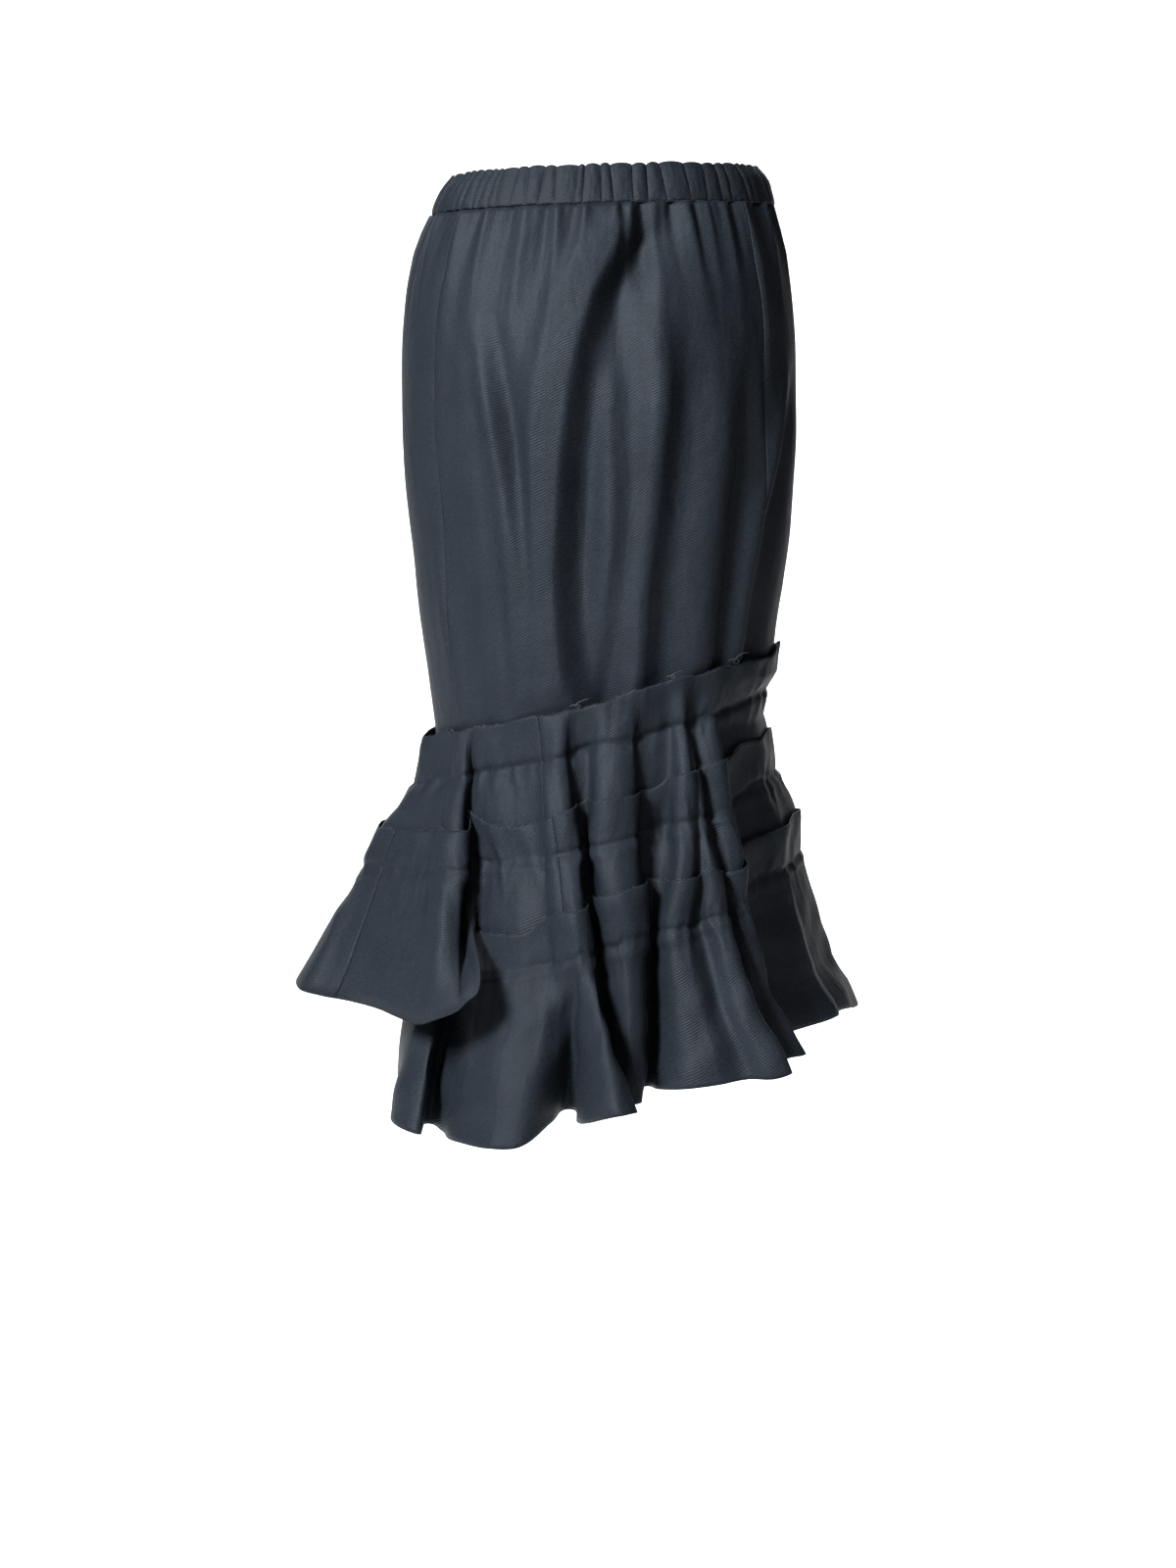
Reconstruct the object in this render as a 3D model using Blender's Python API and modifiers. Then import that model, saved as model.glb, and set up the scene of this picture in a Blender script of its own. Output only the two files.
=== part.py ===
"""Ruffled skirt: gathered waistband, plain back and front panels, three tilted tiers of pleated flounce.

The origin is the middle of the waist opening at the top edge of the waistband. +Z is up, -Y is the
wearer's back and +X is the wearer's right. Lengths in tables are millimetres, turns are degrees
from the middle of the back, positive toward +X.
"""
import math

import bpy
import numpy as np

COLLECTION = "ruffled_skirt"

MM = 0.001
WALL = 1.2 * MM
SEAM_GAP = 0.6 * MM
LAYER_STEP = 2.1 * MM
HEADER_LIFT = 1.0 * MM
HEADER_TALL = 36.0 * MM
TAIL_LENGTH = 8.0 * MM
TAIL = 2.0
FOLD_ROUNDNESS = 0.95
TOP_EVENING = 4
WRAP_ROUNDS = 12
FLOOR_ROUNDS = 14
PINCH_DEPTH = 1.4 * MM
PINCH_REACH = 5.0 * MM
BODY_CLEAR = 2.3 * MM
PANEL_INSET = 0.3 * MM
SPLITS_PER_FOLD = 2

GATHERS = 54
BAND_HEIGHT = 30.0 * MM
BAND_THICK = 3.0 * MM
BAND_TILT = 0.03
PANEL_SEAM_TURN = 60.0

# The body's sections: height, reach to the wearer's left, to the right, to the back, to the front.
BODY_COLUMNS = ("height", "left", "right", "back", "front")
BODY_SECTIONS = (
    (0, 117, 123, 90, 86),
    (-10, 124, 130, 93, 88),
    (-22, 130, 134, 97, 91),
    (-34, 134, 138, 101, 94),
    (-46, 140, 142, 105, 97),
    (-64, 147, 147, 110, 100),
    (-95, 154, 151, 119, 103),
    (-130, 158, 154, 126, 105),
    (-172, 158, 155, 129, 106),
    (-218, 157, 156, 127, 107),
    (-281, 152, 152, 122, 107),
    (-328, 148, 146, 119, 107),
    (-360, 144, 141, 117, 107),
    (-408, 138, 137, 114, 107),
    (-440, 134, 134, 111, 106),
    (-520, 132, 132, 108, 105),
)

# The three stitch lines tilt up toward the wearer's right: height in the middle, rise per length.
LEVEL_COLUMNS = ("height", "slope")
LEVELS = {
    "a": (-444, 0.26),
    "b": (-514, 0.22),
    "c": (-592, 0.25),
}

# Fold lines of the back, left to right: turn and reach at the three stitch lines and at the hem,
# how far the top header stands open (share of the fold's height), and the hem's height.
FOLD_COLUMNS = ("name", "open", "a_turn", "a_reach", "b_turn", "b_reach", "c_turn", "c_reach",
                "h_turn", "h_reach", "h_height")
BACK_FOLDS = (
    ("p1_0", 0.2, -44.2, 123.5, -38.4, 139.2, -37.6, 153.4, -37.6, 193.0, -742),
    ("p1_a", 0.2, -40.6, 122.6, -33.0, 140.0, -33.2, 160.0, -31.8, 207.0, -739),
    ("p1_b", 0.2, -33.0, 120.5, -26.0, 140.0, -21.8, 168.0, -21.8, 225.0, -735),
    ("p1_c", 0.2, -23.5, 121.5, -18.5, 142.0, -13.0, 165.0, -15.6, 221.0, -732),
    ("r2_l", 0.3, -19.2, 129.0, -14.0, 150.0, -10.0, 172.0, -11.2, 188.0, -721),
    ("r2_m", 0.3, -15.8, 130.0, -10.6, 151.0, -5.6, 179.0, -8.8, 160.0, -718),
    ("r2_n", 0.3, -13.6, 129.5, -8.6, 150.0, -4.6, 180.0, -5.0, 200.0, -717),
    ("r2_r", 0.3, -12.0, 126.5, -7.3, 146.5, -2.8, 177.0, -1.9, 235.0, -708),
    ("r2_o", 0.3, -11.6, 121.5, -7.6, 138.5, -2.6, 168.0, 2.6, 260.0, -696),
    ("r2_p", 0.3, -11.2, 117.5, -9.2, 131.5, -6.8, 156.0, 6.0, 248.0, -697),
    ("v2_a", 0.3, -8.6, 115.0, -8.8, 126.0, -7.8, 149.0, 2.4, 212.0, -709),
    ("v2_b", 0.3, -4.2, 115.0, -4.0, 124.5, -1.0, 147.0, 0.0, 178.0, -711),
    ("r3_l", 0.4, -1.1, 125.0, -1.4, 146.0, 2.4, 163.0, 4.4, 186.0, -707),
    ("r3_m", 0.4, 5.4, 127.5, 3.6, 150.0, 6.2, 170.0, 7.2, 195.0, -705),
    ("r3_r", 0.4, 11.2, 124.5, 9.4, 145.0, 11.4, 163.0, 9.5, 190.0, -704),
    ("v3_a", 0.4, 14.0, 117.5, 12.6, 127.0, 14.6, 140.0, 12.4, 152.0, -703),
    ("v3_b", 0.4, 21.0, 117.0, 18.5, 126.0, 16.6, 141.0, 13.9, 154.0, -702),
    ("v3_c", 0.5, 26.0, 118.5, 23.4, 130.0, 17.2, 154.0, 14.8, 176.0, -699),
    ("r4_l", 0.5, 28.4, 125.0, 24.6, 146.0, 18.4, 163.0, 18.7, 200.0, -694),
    ("r4_m", 0.5, 30.2, 128.0, 28.0, 149.5, 22.6, 166.0, 25.0, 212.0, -690),
    ("r4_s", 0.5, 32.0, 126.0, 31.0, 147.0, 28.2, 159.0, 31.0, 217.0, -687),
    ("r4_t", 0.5, 33.0, 123.0, 33.0, 148.0, 31.4, 172.0, 34.6, 234.0, -684),
    ("r4_r", 0.5, 34.4, 120.0, 34.0, 141.5, 35.6, 176.0, 38.8, 238.0, -679),
    ("v4", 0.6, 36.4, 119.5, 36.6, 136.0, 39.2, 159.0, 41.5, 206.0, -684),
    ("r5_l", 0.8, 39.2, 127.0, 40.0, 147.5, 42.4, 168.0, 45.5, 206.0, -679),
    ("r5_r", 0.8, 44.4, 132.0, 45.0, 152.5, 46.0, 171.0, 49.5, 212.0, -676),
    ("v5_a", 0.8, 48.6, 127.0, 50.0, 140.0, 52.0, 150.0, 55.0, 174.0, -680),
    ("v5_b", 0.7, 56.0, 125.0, 58.0, 135.0, 60.0, 146.0, 62.0, 160.0, -680),
    ("v5_c", 0.6, 64.0, 129.0, 67.0, 142.0, 69.0, 153.0, 68.5, 178.0, -672),
    ("r6_l", 0.5, 72.0, 135.0, 73.5, 149.0, 74.0, 166.0, 75.6, 202.0, -665),
    ("r6_r", 0.4, 84.0, 139.0, 82.0, 151.0, 82.0, 167.0, 82.0, 203.0, -665),
)

# Pleats of the front, right to left: middle turn, half width in turn, and the height of the pleat
# above the valley beside it at each stitch line and at the hem.
PLEAT_COLUMNS = ("turn", "half", "a_height", "b_height", "c_height", "h_height")
FRONT_PLEATS = (
    (104, 4.6, 7, 15, 22, 44),
    (128, 5.2, 9, 18, 25, 54),
    (151, 4.4, 8, 16, 21, 46),
    (175, 5.6, 10, 19, 27, 60),
    (199, 4.8, 8, 15, 22, 48),
)
FRONT_VALLEYS = {"a": 3.0, "b": 14.0, "c": 28.0, "h": 50.0}

# Fold lines of the left side, front to back: turn and reach at the two upper stitch lines, then
# the free flounce's half-way point and its hem.
SIDE_COLUMNS = ("name", "open", "a_turn", "a_reach", "b_turn", "b_reach", "m_turn", "m_reach",
                "h_turn", "h_reach", "h_height")
SIDE_FOLDS = (
    ("slit_f", 0.2, -138.0, 124.0, -141.0, 136.0, -142.0, 139.0, -142.5, 141.0, -577),
    ("lip_fa", 0.2, -134.0, 128.0, -137.0, 142.0, -138.5, 158.0, -142.0, 174.0, -586),
    ("lip_fb", 0.2, -130.0, 131.0, -133.0, 147.0, -135.0, 174.0, -141.0, 208.0, -610),
    ("lip_fc", 0.2, -126.0, 134.0, -129.0, 153.0, -131.0, 184.0, -135.0, 224.0, -632),
    ("side_a", 0.1, -120.0, 137.0, -122.0, 159.0, -123.0, 192.0, -125.0, 226.0, -642),
    ("side_b", 0.1, -113.0, 138.0, -114.0, 160.0, -114.0, 188.0, -114.0, 215.0, -645),
    ("side_c", 0.1, -104.0, 146.0, -105.0, 174.0, -103.0, 204.0, -99.0, 230.0, -642),
    ("side_d", 0.1, -94.0, 153.0, -95.0, 187.0, -89.0, 217.0, -84.0, 246.0, -641),
    ("side_e", 0.1, -83.0, 156.0, -85.0, 192.0, -76.0, 222.0, -73.3, 250.0, -643),
    ("side_f", 0.1, -77.0, 150.0, -79.0, 184.0, -71.0, 212.0, -69.2, 235.0, -646),
    ("piece", 0.1, -71.0, 142.0, -72.2, 177.0, -63.5, 203.0, -65.4, 222.0, -647),
    ("side_g", 0.1, -66.0, 134.0, -62.0, 166.0, -53.0, 196.0, -53.9, 215.0, -646),
    ("under", 0.1, -61.4, 131.0, -54.0, 163.0, -46.5, 196.0, -46.0, 216.0, -648),
    ("r1_l", 0.1, -59.4, 137.5, -50.5, 169.0, -42.0, 199.0, -40.0, 218.0, -649),
    ("r1_m", 0.2, -55.0, 141.0, -43.5, 173.0, -37.6, 198.0, -34.0, 222.0, -641),
    ("r1_r", 0.2, -51.4, 137.0, -39.8, 164.0, -36.0, 183.0, -29.0, 224.0, -632),
    ("v1_a", 0.2, -51.6, 131.0, -44.6, 152.0, -43.6, 165.0, -26.8, 224.0, -624),
    ("v1_b", 0.2, -52.6, 126.5, -50.0, 144.5, -47.6, 154.0, -24.9, 219.0, -616),
    ("lip_a", 0.2, -50.6, 125.5, -48.0, 140.4, -46.0, 151.5, -27.6, 198.6, -600),
    ("lip_b", 0.2, -48.6, 125.0, -45.4, 139.2, -43.8, 150.0, -35.0, 168.4, -585),
    ("slit_b", 0.2, -46.4, 124.0, -42.0, 138.8, -40.4, 147.2, -39.8, 153.3, -577),
)

# The lowest tier where the free flounce hides it, front to back: turn and reach at its stitch
# line, then its hem.
UNDER_COLUMNS = ("name", "c_turn", "c_reach", "h_turn", "h_reach", "h_height")
UNDER_FOLDS = (
    ("low_a", -134.0, 150.0, -136.0, 166.0, -735),
    ("low_b", -120.0, 153.0, -120.0, 182.0, -738),
    ("low_c", -104.0, 154.0, -104.0, 166.0, -741),
    ("low_d", -88.0, 158.0, -88.0, 162.0, -742),
    ("low_e", -72.0, 158.0, -68.0, 178.0, -740),
    ("k_l", -60.0, 157.0, -53.6, 204.0, -737),
    ("k_r", -53.6, 154.0, -44.0, 207.0, -740),
    ("k_u", -51.6, 149.0, -47.6, 191.0, -742),
    ("v0_a", -50.4, 146.0, -53.0, 171.0, -744),
    ("v0_b", -45.6, 147.0, -45.0, 176.0, -744),
)

# Rows of each tier: length above (+) or below (-) its stitch line, then shares of the way down to
# the next stitch line or to the hem. Tiers that end under the next one get a tail row as well.
TIER_ROW_LENGTHS = (36.0, 9.0, 0.0, -8.0)
UPPER_ROW_SHARES = (0.5, 1.0, TAIL)
LOWEST_ROW_SHARES = (0.36, 0.7, 1.0)
FREE_HEM_SHARES = {0.5: 0.5, 1.0: 0.8, TAIL: 1.0}

MATERIALS = {
    "skirt_cloth": ((0.030, 0.035, 0.042, 1.0), 0.55),
    "band_cloth": ((0.027, 0.030, 0.036, 1.0), 0.60),
}


def clear_scene():
    for item in list(bpy.data.objects):
        bpy.data.objects.remove(item, do_unlink=True)


def make_materials():
    made = {}
    for name, (colour, roughness) in MATERIALS.items():
        material = bpy.data.materials.new(name)
        material.use_nodes = True
        shader = material.node_tree.nodes["Principled BSDF"]
        shader.inputs["Base Color"].default_value = colour
        shader.inputs["Roughness"].default_value = roughness
        shader.inputs["Metallic"].default_value = 0.0
        made[name] = material
    return made


def hermite(start, end, pull_start, pull_end, part):
    square = part * part
    cube = square * part
    out = start * (2 * cube - 3 * square + 1) + pull_start * (cube - 2 * square + part)
    return out + end * (3 * square - 2 * cube) + pull_end * (cube - square)


def body_size(height):
    """Left, right, back and front reach of the body at a height, by smooth interpolation."""
    table = np.array(BODY_SECTIONS, dtype=float) * MM
    place = np.interp(-height, -table[:, 0], np.arange(len(table)))
    base = np.clip(np.floor(place).astype(int), 0, len(table) - 2)
    part = (place - base)[:, None]
    sizes = table[:, 1:]
    start = sizes[base]
    end = sizes[base + 1]
    pull_start = (end - sizes[np.maximum(base - 1, 0)]) / 2
    pull_end = (sizes[np.minimum(base + 2, len(table) - 1)] - start) / 2
    return hermite(start, end, pull_start, pull_end, part)


def fold_curve(points, where):
    """Closed smooth curve through a ring of fold lines, read at fractional row numbers."""
    count = len(points)
    base = np.floor(where).astype(int)
    part = (where - base).reshape(-1, 1, 1)
    before, start, end, after = [points[(base + step) % count] for step in (-1, 0, 1, 2)]
    chord = np.linalg.norm(end - start, axis=2, keepdims=True) * FOLD_ROUNDNESS
    pull_start = end - before
    pull_end = after - start
    pull_start = pull_start / np.linalg.norm(pull_start, axis=2, keepdims=True) * chord
    pull_end = pull_end / np.linalg.norm(pull_end, axis=2, keepdims=True) * chord
    return hermite(start, end, pull_start, pull_end, part)


def body_reach(turn, height):
    """Reach of the body's plain form at a turn and height."""
    turn, height = np.broadcast_arrays(np.atleast_1d(turn), np.atleast_1d(height))
    size = body_size(height.ravel()).reshape(height.shape + (4,))
    side = np.sin(np.radians(turn))
    back = np.cos(np.radians(turn))
    across = np.where(side < 0, size[..., 0], size[..., 1])
    deep = np.where(back > 0, size[..., 2], size[..., 3])
    return 1.0 / np.sqrt((side / across) ** 2 + (back / deep) ** 2)


def level_height(level, across):
    middle, slope = LEVELS[level]
    return middle * MM + slope * across


def spot(turn, reach):
    """Plan position for a turn and a reach."""
    angle = math.radians(turn)
    return np.array([reach * math.sin(angle), -reach * math.cos(angle)])


def stitch_spot(level, turn, reach):
    """Point on a stitch line. The uppermost one always clears the body."""
    flat = spot(turn, reach)
    if level == "a":
        least = body_reach(turn, level_height("a", flat[0]))[0] + BODY_CLEAR
        flat = spot(turn, max(reach, least))
    return np.array([flat[0], flat[1], level_height(level, flat[0])])


def front_folds():
    """Four fold lines for each pleat of the front: two on the pleat, two in the valley after it."""
    rows = []
    for number, pleat in enumerate(FRONT_PLEATS):
        turn, half, a_height, b_height, c_height, h_height = pleat
        if number + 1 < len(FRONT_PLEATS):
            after = FRONT_PLEATS[number + 1][0]
        else:
            after = 220.0
        middle = (turn + half + after) / 2
        lean = 1.2 * math.sin(number * 2.1)
        stations = (
            ("ridge_a", turn - half, 0.95),
            ("ridge_b", turn + half, 1.0),
            ("valley_a", middle - 2.6 - lean / 2, 0.0),
            ("valley_b", middle + 2.2, 0.0),
        )
        for name, at, share in stations:
            base = body_reach(at, level_height("a", 0.0))[0] / MM
            spread = lean * share
            rows.append((
                "front_%d_%s" % (number, name), 0.4,
                at, base + FRONT_VALLEYS["a"] + a_height * share,
                at + spread, base + FRONT_VALLEYS["b"] + b_height * share,
                at + 1.5 * spread, base + FRONT_VALLEYS["c"] + c_height * share,
                at + 2.0 * spread, base + FRONT_VALLEYS["h"] + h_height * share,
                -707 + 210 * math.sin(math.radians(at)) * 0.17 + 3 * math.sin(at),
            ))
    return rows


def ring_rows():
    """All fold lines with their corner points, from the left side round the back to the front."""
    rows = []
    for row in SIDE_FOLDS:
        name, opening, a_turn, a_reach, b_turn, b_reach, m_turn, m_reach, h_turn, h_reach, h_z = row
        entry = {"name": name, "free": True, "open": opening}
        entry["a"] = stitch_spot("a", a_turn, a_reach * MM)
        entry["b"] = stitch_spot("b", b_turn, b_reach * MM)
        hem = spot(h_turn, h_reach * MM)
        entry["h"] = np.array([hem[0], hem[1], h_z * MM])
        half = spot(m_turn, m_reach * MM)
        entry["m"] = np.array([half[0], half[1], (entry["b"][2] + entry["h"][2]) / 2])
        rows.append(entry)
    for row in list(BACK_FOLDS) + front_folds():
        name, opening, a_turn, a_reach, b_turn, b_reach, c_turn, c_reach, h_turn, h_reach, h_z = row
        entry = {"name": name, "free": False, "open": opening}
        entry["a"] = stitch_spot("a", a_turn, a_reach * MM)
        entry["b"] = stitch_spot("b", b_turn, b_reach * MM)
        entry["c"] = stitch_spot("c", c_turn, c_reach * MM)
        hem = spot(h_turn, h_reach * MM)
        entry["h"] = np.array([hem[0], hem[1], h_z * MM])
        rows.append(entry)
    return add_header_tops(rows)


def low_rows():
    """Fold lines of the lowest tier: the hidden left side, then the shared back and front ones."""
    rows = []
    for row in UNDER_FOLDS:
        name, c_turn, c_reach, h_turn, h_reach, h_z = row
        hem = spot(h_turn, h_reach * MM)
        rows.append({
            "name": name,
            "c": stitch_spot("c", c_turn, c_reach * MM),
            "h": np.array([hem[0], hem[1], h_z * MM]),
        })
    for entry in ring_rows():
        if not entry["free"]:
            rows.append(entry)
    return rows


def puff(start, end, share):
    """Point between two stitch lines, bulging outward half way."""
    flat = start + (end - start) * share
    reach = math.hypot(flat[0], flat[1])
    bulge = (2.4 * MM + 0.08 * max(reach - 0.125, 0.0)) * 4 * share * (1 - share)
    return flat + np.array([flat[0], flat[1], 0.0]) / reach * bulge


def through_three(start, half, end, share):
    """Curve from start to end that passes the half-way point."""
    pull = 2 * half - (start + end) / 2
    return start * (1 - share) ** 2 + pull * 2 * share * (1 - share) + end * share ** 2


def lay_on_body(flat, height, proud):
    """Point at least this proud of the body's surface, at a plan position and a height."""
    turn = math.degrees(math.atan2(flat[0], -flat[1]))
    reach = max(math.hypot(flat[0], flat[1]), body_reach(turn, height)[0] + proud)
    flat = spot(turn, reach)
    return np.array([flat[0], flat[1], height])


def add_header_tops(rows):
    """Raw upper edge of the first tier: the stitched folds, laid flatter and evened out."""
    tops = []
    for entry in rows:
        start = entry["a"]
        turn = math.degrees(math.atan2(start[0], -start[1]))
        proud = math.hypot(start[0], start[1]) - body_reach(turn, start[2])[0] - BODY_CLEAR
        above = body_reach(turn, start[2] + HEADER_TALL)[0] + BODY_CLEAR
        tops.append(spot(turn, above + proud * entry["open"]))
    tops = np.array(tops)
    for _ in range(TOP_EVENING):
        tops = (np.roll(tops, 1, axis=0) + 2 * tops + np.roll(tops, -1, axis=0)) / 4
    for entry, top in zip(rows, tops):
        height = level_height("a", top[0]) + HEADER_TALL
        entry["top"] = lay_on_body(top, height, BODY_CLEAR)
    return rows


def top_point(entry, lift):
    """Point of the first tier's header, above its stitch line."""
    point = entry["a"] + (entry["top"] - entry["a"]) * lift / HEADER_TALL
    return lay_on_body(point[:2], point[2], BODY_CLEAR)


def first_point(entry, lift, share):
    """Point of the first tier's fold line."""
    if lift > 0:
        return top_point(entry, lift)
    if share == TAIL:
        return below_second(entry, TAIL_LENGTH)
    return puff(entry["a"], entry["b"], max(-lift / (entry["a"][2] - entry["b"][2]), share))


def below_second(entry, depth, share=0.0):
    """Point below the second stitch line, by depth or by share of the way, whichever is lower."""
    end = "h" if entry["free"] else "c"
    at = max(depth / (entry["b"][2] - entry[end][2]), share)
    if entry["free"]:
        return through_three(entry["b"], entry["m"], entry["h"], at)
    return puff(entry["b"], entry["c"], at)


def second_point(entry, lift, share):
    """Point of the second tier's fold line, before it is set out over the first tier."""
    if lift > 0:
        drop = entry["a"][2] - entry["b"][2]
        return puff(entry["a"], entry["b"], 1 - lift / drop)
    if entry["free"]:
        return below_second(entry, -lift, FREE_HEM_SHARES.get(share, 0.0))
    if share == TAIL:
        return third_point(entry, -TAIL_LENGTH, 0.0)
    return below_second(entry, -lift, share)


def third_point(entry, lift, share):
    """Point of the lowest tier's fold line, before it is set out over the second tier."""
    if lift > 0:
        if "b" in entry:
            drop = entry["b"][2] - entry["c"][2]
            return puff(entry["b"], entry["c"], 1 - lift / drop)
        shrink = 1 - 0.9 * lift
        return entry["c"] * (shrink, shrink, 1.0) + np.array([0.0, 0.0, lift])
    drop = entry["c"][2] - entry["h"][2]
    at = max(-lift / drop, share)
    return entry["c"] + (entry["h"] - entry["c"]) * at


def swell(grid, amount):
    """Moves points away from the axis by an amount."""
    reach = np.hypot(grid[..., 0], grid[..., 1])
    factor = 1 + amount / reach
    out = grid.copy()
    out[..., 0] *= factor
    out[..., 1] *= factor
    return out


def pinch(distance):
    """How far cloth stands out at a distance from the stitches that hold it in."""
    return PINCH_DEPTH * (1 - math.exp(-distance / PINCH_REACH))


def push_off(inner, outer, gap):
    """Moves plan points of an outer ring to at least a gap outside a closed inner ring."""
    start = inner
    way = np.roll(inner, -1, axis=0) - inner
    length = np.maximum(np.sum(way * way, axis=1), 1e-12)
    offset = outer[:, None, :] - start[None, :, :]
    share = np.clip(np.sum(offset * way[None], axis=2) / length[None], 0.0, 1.0)
    apart = offset - share[..., None] * way[None]
    distance = np.linalg.norm(apart, axis=2)
    nearest = np.argmin(distance, axis=1)
    index = np.arange(len(outer))
    apart = apart[index, nearest]
    distance = distance[index, nearest]
    way = way[nearest]
    normal = np.stack([way[:, 1], -way[:, 0]], axis=1)
    normal = normal / np.maximum(np.linalg.norm(normal, axis=1, keepdims=True), 1e-9)
    outside = np.sum(apart * normal, axis=1) > 0
    unit = apart / np.maximum(distance, 1e-9)[:, None]
    unit = np.where(outside[:, None], unit, normal)
    foot = outer - apart
    short = ~outside | (distance < gap)
    return np.where(short[:, None], foot + unit * gap, outer)


def clear_corners(inner, outer, gap):
    """Moves the sides of an outer ring off the corners of an inner one."""
    way = np.roll(outer, -1, axis=0) - outer
    length = np.maximum(np.sum(way * way, axis=1), 1e-12)
    offset = inner[:, None, :] - outer[None, :, :]
    share = np.clip(np.sum(offset * way[None], axis=2) / length[None], 0.0, 1.0)
    apart = share[..., None] * way[None] - offset
    distance = np.linalg.norm(apart, axis=2)
    nearest = np.argmin(distance, axis=1)
    out = outer.copy()
    for corner, side in enumerate(nearest):
        short = gap - distance[corner, side]
        if short <= 0:
            continue
        normal = np.array([way[side, 1], -way[side, 0]]) / math.sqrt(length[side])
        facing = float(np.dot(apart[corner, side], normal))
        if facing < 0:
            short = gap - facing
        after = (side + 1) % len(outer)
        out[side] = out[side] + normal * short * 0.7
        out[after] = out[after] + normal * short * 0.7
    return out


def round_floors(ring, rounds):
    """Rounds the floors of a ring's valleys by moving their points outward."""
    for _ in range(rounds):
        before = np.roll(ring, 1, axis=0)
        after = np.roll(ring, -1, axis=0)
        way_in = ring - before
        way_out = after - ring
        bend = way_in[:, 0] * way_out[:, 1] - way_in[:, 1] * way_out[:, 0]
        middle = (before + 2 * ring + after) / 4
        ring = np.where((bend < 0)[:, None], middle, ring)
    return ring


def wrap(inner, gap, rounds):
    """Ring that lies a gap outside an inner one and spans its narrow valleys."""
    outer = swell(inner, gap)
    for number in range(rounds):
        if number < rounds - 4:
            outer = (np.roll(outer, 1, axis=0) + 2 * outer + np.roll(outer, -1, axis=0)) / 4
        outer = push_off(inner, outer, gap)
        outer = clear_corners(inner, outer, gap * 0.9)
    return round_floors(outer, FLOOR_ROUNDS)


def ring_at(grid, level, lift):
    """Plan positions where the columns of a tier pass a height above a stitch line."""
    ring = []
    for column in grid:
        above = column[:, 2] - level_height(level, column[:, 0]) - lift
        ring.append([np.interp(0.0, -above, column[:, axis]) for axis in (0, 1)])
    return np.array(ring)


def tier_grid(rows, point, shares, where):
    """Grid of points, columns along the fold lines and rows down the tier."""
    stations = [(length * MM, 0.0) for length in TIER_ROW_LENGTHS]
    stations += [(0.0, share) for share in shares]
    control = np.array([[point(entry, lift, share) for lift, share in stations] for entry in rows])
    grid = fold_curve(control, where)
    for number, (lift, share) in enumerate(stations):
        if share < 1.0:
            grid[:, number] = swell(grid[:, number], pinch(abs(lift) + share * 70 * MM))
    return grid, stations


def lay_over(grid, stations, inner_grid, level):
    """Lays a tier's header and stitch line over the tier it is sewn to."""
    for number, (lift, share) in enumerate(stations):
        if share > 0:
            continue
        inner = ring_at(inner_grid, level, lift)
        gap = LAYER_STEP + HEADER_LIFT * max(lift, 0.0) / HEADER_TALL + pinch(abs(lift))
        ring = wrap(inner, gap, WRAP_ROUNDS)
        grid[:, number, :2] = ring
        grid[:, number, 2] = level_height(level, ring[:, 0]) + lift
    return grid


def mesh_object(name, grid, thickness, material):
    """Wall made from an open surface with a thickness."""
    columns, rows = grid.shape[:2]
    points = [tuple(point) for column in grid for point in column]
    faces = []
    for column in range(columns - 1):
        for row in range(rows - 1):
            first = column * rows + row
            second = first + rows
            faces.append((first, first + 1, second + 1, second))
    mesh = bpy.data.meshes.new(name)
    mesh.from_pydata(points, [], faces)
    mesh.update()
    item = bpy.data.objects.new(name, mesh)
    solid = item.modifiers.new("wall", "SOLIDIFY")
    solid.thickness = thickness
    solid.offset = 0.0
    solid.use_even_offset = False
    finish_object(item, material)
    return item


def finish_object(item, material):
    item.data.polygons.foreach_set("use_smooth", [True] * len(item.data.polygons))
    item.data.materials.append(material)
    bpy.data.collections[COLLECTION].objects.link(item)


def trim_ends(grid, gap):
    """Draws both ends of a strip in by half a seam gap."""
    for end, inner in ((0, 1), (-1, -2)):
        way = grid[inner] - grid[end]
        size = np.linalg.norm(way, axis=1, keepdims=True)
        grid[end] += way / size * gap / 2
    return grid


def row_index(rows, name):
    for number, entry in enumerate(rows):
        if entry["name"] == name:
            return number
    raise ValueError(name)


def tier_pieces(prefix, rows, grid, cuts, material):
    """Cuts one tier's ring into its sewn lengths and builds each as a wall."""
    for label, start, end in cuts:
        first = int(round((row_index(rows, start) + 0.5) * SPLITS_PER_FOLD))
        final = int(round((row_index(rows, end) + 0.5) * SPLITS_PER_FOLD))
        if final <= first:
            final += len(grid)
        picked = [index % len(grid) for index in range(first, final + 1)]
        strip = trim_ends(grid[picked].copy(), SEAM_GAP)
        mesh_object("%s_%s" % (prefix, label), strip, WALL, material)


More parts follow.
